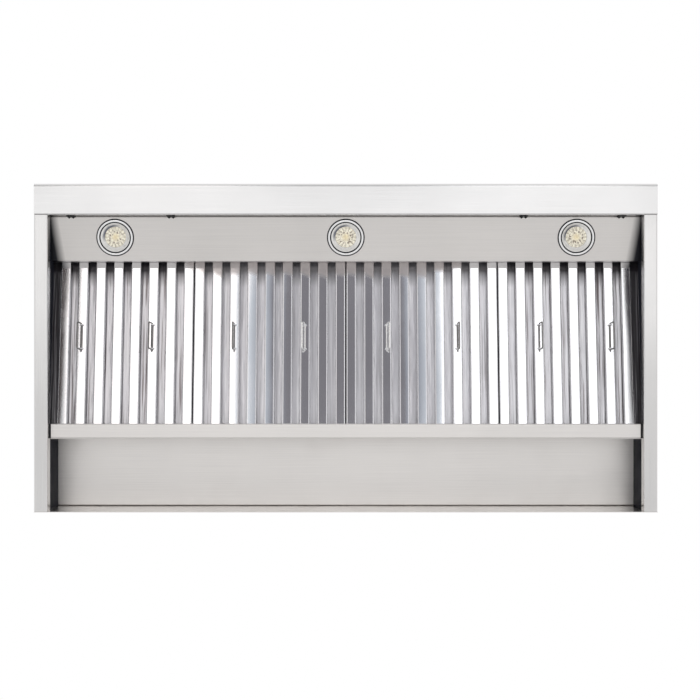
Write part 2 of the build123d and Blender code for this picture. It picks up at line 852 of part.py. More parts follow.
arm_x = -scroll_half - sheet - seam
arm_reach = scroll_inlet + inlet_flange + arm_foot
with BuildPart() as motor_arms:
    with BuildSketch(Plane.YZ.offset(arm_x)):
        with Locations((axle_y, axle_z)):
            RegularPolygon(motor_radius + arm_sheet, rolled_sides)
            with PolarLocations(arm_reach / 2, arm_count, start_angle=90):
                Rectangle(arm_reach, arm_width)
            RegularPolygon(motor_radius + seam / 2, rolled_sides, mode=Mode.SUBTRACT)
    extrude(amount=-arm_sheet)
    with BuildSketch(Plane.YZ.offset(-scroll_half)):
        with Locations((axle_y, axle_z)):
            with PolarLocations(arm_reach - arm_foot / 2 + seam, arm_count, start_angle=90):
                Rectangle(arm_foot - 2 * seam, arm_width)
    extrude(amount=arm_x + scroll_half)
keep(motor_arms.part, "motor_arms")

# Electrical pieces on the top ------------------------------------------------------------------

with BuildPart() as junction_box:
    with BuildSketch(Plane.XY.offset(tray_height)):
        with Locations((box_x, box_y)):
            Rectangle(box_length, box_depth)
    extrude(amount=box_height)
    offset(amount=-sheet, openings=junction_box.faces().sort_by(Axis.Z)[-1])
    with BuildSketch(Plane.YZ.offset(box_x + box_length / 2)):
        with Locations((box_y, tray_height + conduit_lift)):
            RegularPolygon(gland_outer, tube_sides, major_radius=False)
    extrude(amount=-2 * sheet, mode=Mode.SUBTRACT)
    with BuildSketch(Plane.YZ.offset(box_x - box_length / 2)):
        with Locations((box_y, tray_height + conduit_lift)):
            RegularPolygon(conduit_radius, tube_sides)
    extrude(amount=2 * sheet, mode=Mode.SUBTRACT)
keep(junction_box.part, "junction_box")

with BuildPart() as junction_box_cover:
    with BuildSketch(Plane.XY.offset(tray_height + box_height + sheet + seam)):
        with Locations((box_x, box_y)):
            Rectangle(box_length + 2 * (sheet + seam), box_depth + 2 * (sheet + seam))
    extrude(amount=-cover_skirt)
    offset(amount=-sheet, openings=junction_box_cover.faces().sort_by(Axis.Z)[0])
keep(junction_box_cover.part, "junction_box_cover")

gland_x = box_x + box_length / 2
with BuildPart() as cable_gland:
    with BuildSketch(Plane.YZ.offset(gland_x + seam / 2)):
        with Locations((box_y, tray_height + conduit_lift)):
            RegularPolygon(gland_nut, 6)
    extrude(amount=gland_length / 3)
    with BuildSketch(Plane.YZ.offset(gland_x - gland_length / 3)):
        with Locations((box_y, tray_height + conduit_lift)):
            RegularPolygon(gland_outer, tube_sides)
    extrude(amount=gland_length)
    with BuildSketch(Plane.YZ.offset(gland_x)):
        with Locations((box_y, tray_height + conduit_lift)):
            Circle(gland_bore)
    extrude(amount=gland_length, both=True, mode=Mode.SUBTRACT)
keep(cable_gland.part, "cable_gland")

conduit_start = plenum_width / 2 + seam / 2
conduit_end = box_x - box_length / 2 + sheet
with BuildPart() as wiring_conduit:
    with BuildSketch(Plane.YZ.offset(conduit_start)):
        with Locations((box_y, tray_height + conduit_lift)):
            RegularPolygon(conduit_radius, tube_sides)
    extrude(amount=conduit_end - conduit_start)
    for start in (conduit_start, box_x - box_length / 2 - seam / 2 - arm_sheet):
        with BuildSketch(Plane.YZ.offset(start)):
            with Locations((box_y, tray_height + conduit_lift)):
                RegularPolygon(gland_nut, 6)
        extrude(amount=arm_sheet)
    with BuildSketch(Plane.YZ.offset(conduit_start)):
        with Locations((box_y, tray_height + conduit_lift)):
            RegularPolygon(conduit_radius - sheet, tube_sides)
    extrude(amount=conduit_end - conduit_start, mode=Mode.SUBTRACT)
keep(wiring_conduit.part, "wiring_conduit")

with BuildPart() as lamp_driver:
    with BuildSketch(Plane.XY.offset(tray_height)):
        with Locations((driver_x, driver_y)):
            Rectangle(driver_length, driver_depth)
    extrude(amount=driver_height)
    chamfer(lamp_driver.faces().sort_by(Axis.Z)[-1].edges(), length=sheet)
    with BuildSketch(Plane.XY.offset(tray_height)):
        with Locations((driver_x, driver_y)):
            Rectangle(driver_length + 2 * driver_ear, driver_depth / 2)
    extrude(amount=sheet)
keep(lamp_driver.part, "lamp_driver")

with BuildPart() as roof_bolts:
    with BuildSketch(Plane.XY.offset(tray_height)):
        edge_step = (hood_width - 2 * top_flange) / edge_bolt_count
        with GridLocations(edge_step, hood_depth - top_flange, edge_bolt_count, 2):
            RegularPolygon(bolt_radius, 6)
    extrude(amount=bolt_head)
    with BuildSketch(Plane.XY.offset(tray_height + sheet)):
        plenum_step = plenum_width / plenum_bolt_count
        with Locations((0, plenum_y)):
            with GridLocations(plenum_step, plenum_depth + plenum_flange, plenum_bolt_count, 2):
                RegularPolygon(bolt_radius, 6)
        with Locations((driver_x, driver_y)):
            with GridLocations(driver_length + driver_ear, 0, 2, 1):
                RegularPolygon(bolt_radius, 6)
    extrude(amount=bolt_head)
    with BuildSketch(Plane.XY.offset(plenum_top_z + collar_sheet)):
        bolt_square = 2 * collar_radius
        with Locations((0, plenum_y)):
            with GridLocations(bolt_square, bolt_square, 2, 2):
                RegularPolygon(bolt_radius, 6)
    extrude(amount=bolt_head)
keep(roof_bolts.part, "roof_bolts")
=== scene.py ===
"""Dresses a range hood insert: lamps, filters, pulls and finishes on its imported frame.

The frame gives every sheet metal part its place. The pieces here stand for the ones whose real
form is rounder or finer than the frame's, and every surface gets the finish of the real one.
The modelling helpers take millimetres, while the settings, the stage and the shaders have metres.
"""

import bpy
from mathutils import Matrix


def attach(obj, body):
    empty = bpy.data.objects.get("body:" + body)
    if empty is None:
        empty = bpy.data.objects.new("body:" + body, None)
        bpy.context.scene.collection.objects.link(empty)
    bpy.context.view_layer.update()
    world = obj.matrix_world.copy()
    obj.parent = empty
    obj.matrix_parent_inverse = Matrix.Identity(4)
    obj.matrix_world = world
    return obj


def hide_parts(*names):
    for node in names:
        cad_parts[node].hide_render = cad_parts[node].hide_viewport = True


bl_info = {
    "name": "Range Hood Insert",
    "version": (1, 0, 0),
    "blender": (4, 5, 0),
    "location": "3D View > Sidebar > Hood Insert",
    "description": "Builds the looks of a range hood insert around its packed frame",
    "category": "Object",
}

from math import pi, radians

import bpy
from bpy.props import FloatProperty, FloatVectorProperty, IntProperty, PointerProperty
from mathutils import Matrix, Vector

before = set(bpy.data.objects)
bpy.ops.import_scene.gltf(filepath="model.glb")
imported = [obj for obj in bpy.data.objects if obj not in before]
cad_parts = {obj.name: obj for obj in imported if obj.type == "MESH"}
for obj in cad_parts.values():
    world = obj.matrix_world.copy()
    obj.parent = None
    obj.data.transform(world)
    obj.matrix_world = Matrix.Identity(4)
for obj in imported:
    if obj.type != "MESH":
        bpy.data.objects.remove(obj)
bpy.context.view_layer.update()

MM = 0.001
POLE = 1e-7  # radius in metres that stands for a point on the axis until it is welded
WELD = 1e-6  # points nearer than this, in metres, are one
NEAR = 1e-5  # a point within this of a place, in metres, counts as being there

# Places and sizes of the hood, in millimetres, and its slopes in radians
SHEET = 1.2
ROOF = 176
CEILING = 366
FLANGE = 16
FILTER_SLOPE = radians(9.5)
FILTER_FOOT = (166.848, 30.177)
FILTER_CENTRES = (-439.5, -146.5, 146.5, 439.5)
BAFFLE_START = 1.1
BAFFLE_SHEET = 0.8
BAFFLE_LEG = 9
REAR_BAFFLE_FACE = 18
PULL_MIDDLE = -190.5
PULL_SHIFT = 68
PULL_PIVOT = -4
EAR_SHIFT = 23
LAMP_SLOPE = radians(12)
LAMP_SPOTS = [(x, -211.4, 42.523) for x in (-441, 0, 441)]
COLLAR_Y = 30
COLLAR_SHEET = 1
FLAP_HINGE = 382
BLOWER_AXIS = (0, 104.814, 259.6)
BLADE_START = 0.9
BLADE_LENGTH = 92.6

# Places and sizes in the studio, in metres, with the spot on the floor that the ridges mirror
CAMERA_SPOT = (0.00802, 0.0038)
MIRRORED_Y = -1.45
CARD_X = 0.745
CARD_SIZE = (0.77, 1.2)
CARD_LIFT = 0.02
FLAG_X = 1.48
FLAG_LENGTH = 1.22
FLAG_SLANT = 0.0436
FLAG_LIFT = 0.08
GLOW_POWER = 4  # watts from a square metre of card at a glow of one


# Settings ----------------------------------------------------------------------------------------


def length_setting(name, description, default):
    """A setting that is a length."""
    return FloatProperty(name=name, description=description, default=default, unit="LENGTH",
                         subtype="DISTANCE")


def number_setting(name, description, default):
    """A setting that is a plain number."""
    return FloatProperty(name=name, description=description, default=default)


def count_setting(name, description, default):
    """A setting that is a whole number."""
    return IntProperty(name=name, description=description, default=default)


def colour_setting(name, description, default):
    """A setting that is a colour."""
    return FloatVectorProperty(name=name, description=description, default=default,
                               subtype="COLOR")


class StageSettings(bpy.types.PropertyGroup):
    """Where the camera stands and how the studio is lit."""

    camera_drop: length_setting("Camera drop", "How far below the rim the camera stands", 3.3)
    lens: number_setting("Lens", "Focal length in millimetres", 89.9)
    floor_drop: length_setting("Floor drop", "How far below the rim the studio floor lies", 3.6)
    floor_colour: colour_setting("Floor", "Colour of the studio floor", (0.8, 0.8, 0.8))
    card_glow: number_setting("Card glow", "Brightness of the white cards in front", 0.8)
    near_glow: number_setting("Near glow", "Brightness of the card that the rim's lip reflects", 0.315)


class LampSettings(bpy.types.PropertyGroup):
    """Sizes and colours of the round lamps."""

    bezel_radius: length_setting("Bezel radius", "Radius of a lamp's bezel with its outer gasket", 0.0355)
    bezel_bore: length_setting("Bezel bore", "Radius of the opening that holds the reflector", 0.0296)
    lens_radius: length_setting("Lens radius", "Radius of the frosted lens", 0.020)
    petals: count_setting("Petals", "Petals round the lens", 16)
    lens_colour: colour_setting("Lens", "Warm colour of the lens", (0.90, 0.82, 0.69))


class FilterSettings(bpy.types.PropertyGroup):
    """Sizes of the baffle filters and their pulls."""

    ridges: count_setting("Ridges", "Ridges on one filter", 9)
    ridge_pitch: length_setting("Ridge pitch", "Distance from ridge to ridge", 0.034)
    ridge_width: length_setting("Ridge width", "Width of a ridge's flat face", 0.0174)
    rear_width: length_setting("Rear baffle width", "Width of a rear baffle, seen in the grooves", 0.0244)
    length: length_setting("Baffle length", "Length of a baffle along the slope", 0.3788)
    fold_radius: length_setting("Fold radius", "Radius of the folds along a baffle", 0.0012)
    wire: length_setting("Pull wire", "Thickness of a pull's wire", 0.003)
    sway: FloatVectorProperty(
        name="Sway",
        description="How far each pull hangs outwards, from left to right",
        size=8,
        default=[radians(sway) for sway in (15.0, 13.0, 5.0, 14.0, 14.0, 7.0, 10.0, 12.5)],
        unit="ROTATION",
    )


class DuctSettings(bpy.types.PropertyGroup):
    """Sizes of the duct collar."""

    collar_radius: length_setting("Collar radius", "Outer radius of the collar", 0.127)
    collar_height: length_setting("Collar height", "Height of the collar over the plenum", 0.050)
    bead: length_setting("Bead", "How far the collar's bead stands out", 0.0014)


class BlowerSettings(bpy.types.PropertyGroup):
    """Sizes of the impeller."""

    blades: count_setting("Blades", "Blades in each row", 36)
    impeller_radius: length_setting("Impeller radius", "Outer radius of the blades", 0.080)


class FinishSettings(bpy.types.PropertyGroup):
    """Colours of the metals."""

    stainless: colour_setting("Stainless", "Brushed stainless sheet", (0.74, 0.715, 0.695))
    baffle: colour_setting("Baffle", "Polished filter sheet", (0.80, 0.80, 0.82))
    zinc: colour_setting("Zinc", "Galvanised sheet", (0.55, 0.57, 0.59))


# Modelling helpers -------------------------------------------------------------------------------


def at(x, y, z):
    """A shift, in millimetres."""
    return Matrix.Translation(Vector((x, y, z)) * MM)


def turn(angle, axis):
    """A turn about one of the main axes."""
    return Matrix.Rotation(angle, 4, axis)


def leave_edit():
    """Goes back to object mode."""
    bpy.ops.object.mode_set(mode="OBJECT")


def deselect():
    """Leaves nothing selected, since loading the frame selects every node."""
    if bpy.context.object and bpy.context.object.mode != "OBJECT":
        leave_edit()
    bpy.ops.object.select_all(action="DESELECT")


def only(piece):
    """Makes one piece the selected and active one."""
    deselect()
    piece.select_set(True)
    bpy.context.view_layer.objects.active = piece


def started(name):
    """Names the new primitive and puts its place in its mesh."""
    piece = bpy.context.object
    piece.name = name
    bpy.ops.object.transform_apply(location=True, rotation=True, scale=True)
    return piece


def pick(piece, kind, test):
    """Enters edit mode with the faces, edges or vertices selected that pass the test."""
    only(piece)
    bpy.ops.object.mode_set(mode="EDIT")
    bpy.ops.mesh.select_mode(type=kind)
    bpy.ops.mesh.select_all(action="DESELECT")
    leave_edit()
    mesh = piece.data
    if kind == "FACE":
        for face in mesh.polygons:
            face.select = test(face.center, face.normal)
    elif kind == "EDGE":
        for edge in mesh.edges:
            edge.select = test(*(mesh.vertices[i].co for i in edge.vertices))
    else:
        for vertex in mesh.vertices:
            vertex.select = test(vertex.co)
    bpy.ops.object.mode_set(mode="EDIT")


def pick_all(piece):
    """Enters edit mode with all points selected."""
    only(piece)
    bpy.ops.object.mode_set(mode="EDIT")
    bpy.ops.mesh.select_mode(type="VERT")
    bpy.ops.mesh.select_all(action="SELECT")


def extrude(x, y, z):
    """Extrudes what is selected."""
    bpy.ops.mesh.extrude_region_move(
        TRANSFORM_OT_translate={"value": Vector((x, y, z)) * MM}
    )


def shift(x, y, z):
    """Moves what is selected."""
    bpy.ops.transform.translate(value=Vector((x, y, z)) * MM)


def resize(x, y, z, centre=(0, 0, 0)):
    """Scales what is selected about a centre."""
    bpy.ops.transform.resize(value=(x, y, z), center_override=Vector(centre) * MM)


def tidy_mesh(piece):
    """Welds a piece's doubled points and turns its faces outwards."""
    pick_all(piece)
    bpy.ops.mesh.remove_doubles(threshold=WELD)
    bpy.ops.mesh.normals_make_consistent(inside=False)
    leave_edit()


def modify(piece, kind, **values):
    """Adds a modifier to the piece and applies it."""
    only(piece)
    modifier = piece.modifiers.new(kind.title(), kind)
    for key, value in values.items():
        setattr(modifier, key, value)
    bpy.ops.object.modifier_apply(modifier=modifier.name)


def rounded(piece, width, segments=3, angle=30):
    """Rounds the piece's sharp edges."""
    modify(piece, "BEVEL", width=width * MM, segments=segments, limit_method="ANGLE",
           angle_limit=radians(angle), use_clamp_overlap=True)


def smooth(piece, angle=35):
    """Shades the piece smooth except at its sharp edges."""
    only(piece)
    bpy.ops.object.shade_smooth_by_angle(angle=radians(angle))


def place(piece, matrix):
    """Moves a piece to its place and puts that place in its mesh."""
    only(piece)
    piece.matrix_world = matrix @ piece.matrix_world
    bpy.ops.object.transform_apply(location=True, rotation=True, scale=True)


def joined(parts, name):
    """Joins parts into one piece of the given name."""
    deselect()
    for part in parts:
        part.select_set(True)
    bpy.context.view_layer.objects.active = parts[0]
    bpy.ops.object.join()
    piece = bpy.context.object
    piece.name = name
    piece.data.name = name
    return piece


def repeated(piece, matrices, name):
    """Copies a piece to several places and joins the copies into one piece."""
    copies = []
    for matrix in matrices:
        copy = piece.copy()
        copy.data = piece.data.copy()
        bpy.context.scene.collection.objects.link(copy)
        place(copy, matrix)
        copies.append(copy)
    bpy.data.objects.remove(piece)
    return joined(copies, name)


def box(name, low, high, edge=0.0, segments=2):
    """A block between two corners, with softened edges if a width is given for them."""
    deselect()
    middle = (Vector(low) + Vector(high)) / 2
    bpy.ops.mesh.primitive_cube_add(size=1, location=middle * MM)
    bpy.context.object.scale = (Vector(high) - Vector(low)) * MM
    piece = started(name)
    if edge:
        rounded(piece, edge, segments)
    return piece


def cut(piece, cutter):
    """Cuts one piece's shape out of another."""
    modify(piece, "BOOLEAN", operation="DIFFERENCE", solver="EXACT", object=cutter)
    bpy.data.objects.remove(cutter)


def drum(name, radius, low, high, steps):
    """A round block that stands on Z between two heights."""
    deselect()
    bpy.ops.mesh.primitive_cylinder_add(vertices=steps, radius=radius * MM,
                                        depth=(high - low) * MM,
                                        location=(0, 0, (low + high) / 2 * MM))
    return started(name)


def round_corners(piece, radius):
    """Rounds a plate's upright corners."""
    pick(piece, "EDGE", lambda a, b: abs(a.z - b.z) > NEAR and (a - b).xy.length < WELD)
    bpy.ops.mesh.bevel(offset=radius * MM, segments=5, affect="EDGES")
    leave_edit()


def tray(name, low, high, sheet, bend, flange=0.0):
    """A folded sheet cap, open below, with a flange if one is asked for."""
    foot = low[2] + (sheet if flange else 0.0)
    piece = box(name, (low[0], low[1], foot), high)
    pick(piece, "FACE", lambda centre, normal: normal.z < -0.5)
    bpy.ops.mesh.delete(type="FACE")
    leave_edit()
    rounded(piece, bend)
    if flange:
        level = foot * MM + WELD
        pick(piece, "EDGE", lambda a, b: a.z < level and b.z < level)
        extrude(0, 0, 0)
        middle = [(a + b) / 2 for a, b in zip(low, high)]
        resize(1 + 2 * flange / (high[0] - low[0]), 1 + 2 * flange / (high[1] - low[1]), 1,
               (middle[0], middle[1], foot))
        leave_edit()
    tidy_mesh(piece)
    top = max(piece.data.polygons, key=lambda face: face.center.z)
    modify(piece, "SOLIDIFY", thickness=sheet * MM, offset=-1.0 if top.normal.z > 0 else 1.0,
           use_even_offset=True)
    return piece


def turned(name, profile, steps):
    """Turns a profile of (radius, height) points round Z, as a ring or as a solid on the axis.

    A profile that starts on the axis also ends on it. Any other one is closed to its start.
    """
    deselect()
    if profile[0][0]:
        profile = [*profile, profile[0]]
    points = [(max(radius * MM, POLE), height) for radius, height in profile]
    radius, height = points[0]
    bpy.ops.mesh.primitive_circle_add(vertices=steps, radius=radius, location=(0, 0, height * MM))
    piece = started(name)
    pick_all(piece)
    for next_radius, next_height in points[1:]:
        extrude(0, 0, next_height - height)
        resize(next_radius / radius, next_radius / radius, 1)
        radius, height = next_radius, next_height
    tidy_mesh(piece)
    return piece


def wire(name, points, thickness, bend):
    """A closed loop of round wire with every corner bent.

    The points start and end at one place, on a straight stretch, where the loop is closed.
    """
    deselect()
    bpy.ops.mesh.primitive_plane_add(size=MM)
    piece = started(name)
    pick_all(piece)
    bpy.ops.mesh.merge(type="CENTER")
    shift(*points[0])
    for last, point in zip(points, points[1:]):
        extrude(*(b - a for a, b in zip(last, point)))
    bpy.ops.mesh.select_all(action="SELECT")
    bpy.ops.mesh.remove_doubles(threshold=WELD)
    start = Vector(points[0]) * MM
    pick(piece, "VERT", lambda co: (co - start).length > NEAR)
    bpy.ops.mesh.bevel(affect="VERTICES", offset=bend * MM, segments=6)
    leave_edit()
    bpy.ops.object.convert(target="CURVE")
    piece.data.bevel_depth = thickness / 2 * MM
    piece.data.bevel_resolution = 3
    bpy.ops.object.convert(target="MESH")
    tidy_mesh(piece)
    smooth(piece, 50)
    return piece


def remember(piece):
    """Notes each point's place in the piece's own frame, for patterns that follow the piece."""
    own = piece.data.attributes.new("own_place", "FLOAT_VECTOR", "POINT")
    for index, vertex in enumerate(piece.data.vertices):
        own.data[index].vector = vertex.co


def dress(piece, material):
    """Gives a piece its material."""
    piece.data.materials.clear()
    piece.data.materials.append(material)


def settle(piece, finish, body, slot, *nodes):
    """Dresses a finished piece and rides it on its body, in place of the frame's nodes."""
    dress(piece, finishes[finish])
    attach(piece, body)
    if nodes:
        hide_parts(*nodes)


# Shader helpers ----------------------------------------------------------------------------------


def feed(tree, node, values):
    """Links the sockets that are given to a node's inputs, and sets the plain values."""
    for socket, value in values.items():
        if isinstance(value, bpy.types.NodeSocket):
            tree.links.new(value, node.inputs[socket])
        else:
            node.inputs[socket].default_value = value


def add(tree, kind, values=None, **settings):
    """Adds a node with its settings and its inputs."""
    node = tree.nodes.new(kind)
    for key, value in settings.items():
        setattr(node, key, value)
    feed(tree, node, values or {})
    return node


def new_group(name, inputs, outputs):
    """Starts a shader group with named sockets, and gives it with its inputs and its result."""
    group = bpy.data.node_groups.new(name, "ShaderNodeTree")
    for socket, kind, default in inputs:
        made = group.interface.new_socket(socket, in_out="INPUT", socket_type=kind)
        if default is not None:
            made.default_value = default
    for socket in outputs:
        group.interface.new_socket(socket, in_out="OUTPUT", socket_type="NodeSocketFloat")
    return group, add(group, "NodeGroupInput").outputs, add(group, "NodeGroupOutput")


def map_range(tree, value, low, high, out_low, out_high):
    """Maps a value from one range to another, held at the ends."""
    node = add(tree, "ShaderNodeMapRange", {0: value, 1: low, 2: high, 3: out_low, 4: out_high})
    return node.outputs[0]


def mixed(tree, factor, first, second):
    """Mixes two colours."""
    node = add(tree, "ShaderNodeMix", {0: factor, 6: first, 7: second}, data_type="RGBA")
    return node.outputs[2]


def maths(tree, operation, *values):
    """One arithmetic step."""
    return add(tree, "ShaderNodeMath", dict(enumerate(values)), operation=operation).outputs[0]


def split(tree, vector):
    """The X, Y and Z of a vector."""
    return add(tree, "ShaderNodeSeparateXYZ", {0: vector}).outputs


def stretched(tree, vector, factors):
    """A vector with a factor for each axis."""
    node = add(tree, "ShaderNodeVectorMath", {0: vector, 1: factors}, operation="MULTIPLY")
    return node.outputs[0]


def noise(tree, vector, scale, detail=2.0, distortion=0.0):
    """A cloudy value round one half."""
    node = add(tree, "ShaderNodeTexNoise", {"Vector": vector, "Scale": scale, "Detail": detail,
                                            "Distortion": distortion})
    return node.outputs["Fac"]


def bump(tree, height, distance, strength=1.0, **under):
    """The normal of a surface with small relief."""
    node = add(tree, "ShaderNodeBump", {"Height": height, "Distance": distance,
                                        "Strength": strength, **under})
    return node.outputs[0]


def own_place(tree):
    """The X, Y and Z of the point in its piece's own frame."""
    own = add(tree, "ShaderNodeAttribute", attribute_name="own_place")
    return split(tree, own.outputs["Vector"])


def reach_of(tree, x, y):
    """How far a point lies from the axis."""
    square = maths(tree, "MULTIPLY_ADD", x, x, maths(tree, "MULTIPLY", y, y))
    return maths(tree, "SQRT", square)


def shaded(colour, factor):
    """A colour made darker or lighter, with its alpha."""
    return [min(c * factor, 1.0) for c in colour] + [1.0]


# Shared groups -----------------------------------------------------------------------------------

# Sockets that more than one group has
PLACE = ("Vector", "NodeSocketVector", None)
STRETCH = ("Stretch", "NodeSocketVector", (1.0, 1.0, 1.0))


def brushed_grain():
    """Group: the fine lines that a brushing belt leaves, drawn out along one way."""
    group, source, result = new_group(
        "Brushed grain",
        [PLACE, STRETCH, ("Roughness", "NodeSocketFloat", 0.3),
         ("Spread", "NodeSocketFloat", 0.08)],
        ["Tone", "Roughness", "Height"],
    )
    fine = noise(group, stretched(group, source["Vector"], source["Stretch"]), 1.0, 4.0)
    broad = noise(group, source["Vector"], 5.0, 3.0)
    both = maths(group, "ADD", fine, broad)
    rough = maths(group, "MULTIPLY_ADD", maths(group, "SUBTRACT", both, 1.0), source["Spread"],
                  source["Roughness"])
    feed(group, result, {"Tone": map_range(group, both, 0.6, 1.4, 0.0, 1.0), "Roughness": rough,
                         "Height": fine})
    return group


def sheet_waves():
    """Group: the slow waves of thin sheet, which make its reflections wander."""
    group, source, result = new_group("Sheet waves", [PLACE, STRETCH], ["Height"])
    drawn = stretched(group, source["Vector"], source["Stretch"])
    feed(group, result, {"Height": noise(group, drawn, 1.0, 1.0)})
    return group


def handling_marks():
    """Group: faint smudges and dust that dull a surface here and there."""
    group, source, result = new_group(
        "Handling marks", [PLACE, ("Scale", "NodeSocketFloat", 9.0)], ["Mask"]
    )
    cloud = noise(group, source["Vector"], source["Scale"], 5.0, 0.6)
    feed(group, result, {"Mask": map_range(group, cloud, 0.5, 0.72, 0.0, 1.0)})
    return group


def zinc_spangle():
    """Group: the crystals of a hot zinc coat."""
    group, source, result = new_group(
        "Zinc spangle", [PLACE, ("Scale", "NodeSocketFloat", 60.0)], ["Tone", "Height"]
    )
    crystals = add(group, "ShaderNodeTexVoronoi",
                   {"Vector": source["Vector"], "Scale": source["Scale"]})
    tone = add(group, "ShaderNodeSeparateColor", {0: crystals.outputs["Color"]})
    feed(group, result, {"Tone": tone.outputs[0], "Height": crystals.outputs["Distance"]})
    return group


# Materials ---------------------------------------------------------------------------------------


def start_material(name):
    """A new material with its tree, its shader and the object's own coordinates."""
    material = bpy.data.materials.new(name)
    material.use_nodes = True
    tree = material.node_tree
    here = add(tree, "ShaderNodeTexCoord").outputs["Object"]
    return material, tree, tree.nodes["Principled BSDF"], here


def use_group(tree, groups, name, values):
    """Places one of the shared groups in a material and gives its outputs."""
    return add(tree, "ShaderNodeGroup", values, node_tree=groups[name]).outputs


def brushed_metal(name, groups, colour, roughness, stretch, spread=0.1, depth=0.00002,
                  waves=(3.0, 3.0, 3.0), wave_depth=0.0004, marks=0.06, shade=None,
                  shade_colour=(0.012, 0.013, 0.018), dull=False, metallic=1.0, streaks=None):
    """Brushed or polished sheet: grain, slow waves and faint smudges.

    `streaks` paints reflections into the tone. `shade` gives a mask where the shade colour paints shade
    and reflections, dull where that is asked.
    """
    material, tree, shader, here = start_material(name)
    grain = use_group(tree, groups, "grain", {"Vector": here, "Stretch": stretch,
                                              "Roughness": roughness, "Spread": spread})
    wave = use_group(tree, groups, "waves", {"Vector": here, "Stretch": waves})
    smudge = use_group(tree, groups, "marks", {"Vector": here})
    tone = mixed(tree, grain["Tone"], shaded(colour, 0.90), shaded(colour, 1.04))
    if streaks:
        tone = streaks(tree, here, tone)
    # A given mask mixes painted shade and reflections into the tone.
    if shade:
        mask = shade(tree, here)
        tone = mixed(tree, mask, tone, (*shade_colour, 1.0))
        if dull:
            metallic = maths(tree, "SUBTRACT", 1.0, mask)
    fine = bump(tree, grain["Height"], depth)
    feed(tree, shader, {
        "Base Color": tone,
        "Roughness": maths(tree, "MULTIPLY_ADD", smudge["Mask"], marks, grain["Roughness"]),
        "Normal": bump(tree, wave["Height"], wave_depth, Normal=fine),
        "Metallic": metallic,
    })
    return material


def zinc_coat(name, groups, colour, scale, roughness=0.42):
    """Galvanised or zinc plated steel with its crystals and some dust."""
    material, tree, shader, here = start_material(name)
    spangle = use_group(tree, groups, "spangle", {"Vector": here, "Scale": scale})
    smudge = use_group(tree, groups, "marks", {"Vector": here, "Scale": 7.0})
    tone = mixed(tree, spangle["Tone"], shaded(colour, 0.92), shaded(colour, 1.06))
    dust = maths(tree, "MULTIPLY", smudge["Mask"], 0.25)
    feed(tree, shader, {
        "Base Color": mixed(tree, dust, tone, (0.5, 0.49, 0.47, 1.0)),
        "Roughness": maths(tree, "MULTIPLY_ADD", spangle["Tone"], 0.16, roughness),
        "Normal": bump(tree, spangle["Height"], 0.0002, 0.5),
        "Metallic": 0.9,
    })
    return material


def coated(name, groups, colour, roughness, metallic=0.0, speckle=400.0, depth=0.00004, coat=0.0,
           marks=0.12, gloss=0.5, shade=None, shade_colour=None):
    """Paint, plastic or rubber with a fine texture and faint smudges."""
    material, tree, shader, here = start_material(name)
    smudge = use_group(tree, groups, "marks", {"Vector": here, "Scale": 12.0})
    pores = noise(tree, here, speckle)
    tone = mixed(tree, pores, shaded(colour, 0.88), shaded(colour, 1.05))
    # A given mask mixes painted shade and reflections into the tone, in the shade colour.
    if shade:
        tone = mixed(tree, shade(tree, here), tone, (*shade_colour, 1.0))
    feed(tree, shader, {
        "Base Color": tone,
        "Roughness": maths(tree, "MULTIPLY_ADD", smudge["Mask"], marks, roughness),
        "Normal": bump(tree, pores, depth, 0.6),
        "Metallic": metallic,
        "Coat Weight": coat,
        "Specular IOR Level": gloss,
    })
    return material


def frosted_lens(groups, colour, petals, size):
    """The lamp's warm face with its petals, painted shade along their edges, a faint painted glow and the
    dark chips behind them.
    """
    material, tree, shader, here = start_material("Lamp lens")
    x, y, _ = own_place(tree)
    around = maths(tree, "MULTIPLY", maths(tree, "ARCTAN2", y, x), petals / pi)
    petal = maths(tree, "PINGPONG", around, 1.0)
    reach = maths(tree, "DIVIDE", reach_of(tree, x, y), size)
    cloud = noise(tree, here, 260.0, 3.0)
    specks = add(tree, "ShaderNodeTexVoronoi", {"Vector": here, "Scale": 210.0})
    tone = mixed(tree, map_range(tree, cloud, 0.38, 0.62, 0.25, 1.0), shaded(colour, 0.55),
                 shaded(colour, 1.16))
    tone = mixed(tree, map_range(tree, reach, 0.12, 0.52, 0.6, 0.0), tone, (0.84, 0.72, 0.45, 1.0))
    # The dark lines along the outer petals' edges are painted shade.
    painted_crease_shade = maths(tree, "MULTIPLY", map_range(tree, petal, 0.0, 0.35, 0.8, 0.0),
                    map_range(tree, reach, 0.45, 0.6, 0.0, 1.0))
    tone = mixed(tree, painted_crease_shade, tone, (0.33, 0.28, 0.20, 1.0))
    ring = maths(tree, "MULTIPLY", map_range(tree, reach, 0.30, 0.40, 0.0, 1.0),
                 map_range(tree, reach, 0.66, 0.76, 1.0, 0.0))
    spots = map_range(tree, specks.outputs["Distance"], 0.30, 0.38, 0.9, 0.0)
    tone = mixed(tree, maths(tree, "MULTIPLY", spots, ring), tone, (0.20, 0.15, 0.11, 1.0))
    feed(tree, shader, {
        "Base Color": tone,
        # The emission is a faint painted glow that brightens the lens.
        "Emission Color": tone,
        "Emission Strength": 0.12,
        "Roughness": 0.35,
        "Normal": bump(tree, cloud, 0.0003, 0.5),
    })
    return material


def black_cloth(name, paint):
    """A dull cloth on the studio floor, with the tone that `paint` gives."""
    material, tree, shader, here = start_material(name)
    feed(tree, shader, {"Base Color": paint(tree, here), "Roughness": 1.0,
                        "Specular IOR Level": 0.0})
    return material


def middle_tone(tree, here):
    """Grey with a paler blue border, which the middle ridges reflect."""
    out = maths(tree, "ABSOLUTE", maths(tree, "ADD", split(tree, here)["X"], 0.025))
    border = mixed(tree, map_range(tree, out, 0.28, 0.41, 0.0, 1.0), (0.40, 0.42, 0.47, 1.0),
                   (0.78, 0.83, 0.88, 1.0))
    return mixed(tree, map_range(tree, out, 0.262, 0.275, 0.0, 1.0), (0.25, 0.243, 0.262, 1.0),
                 border)


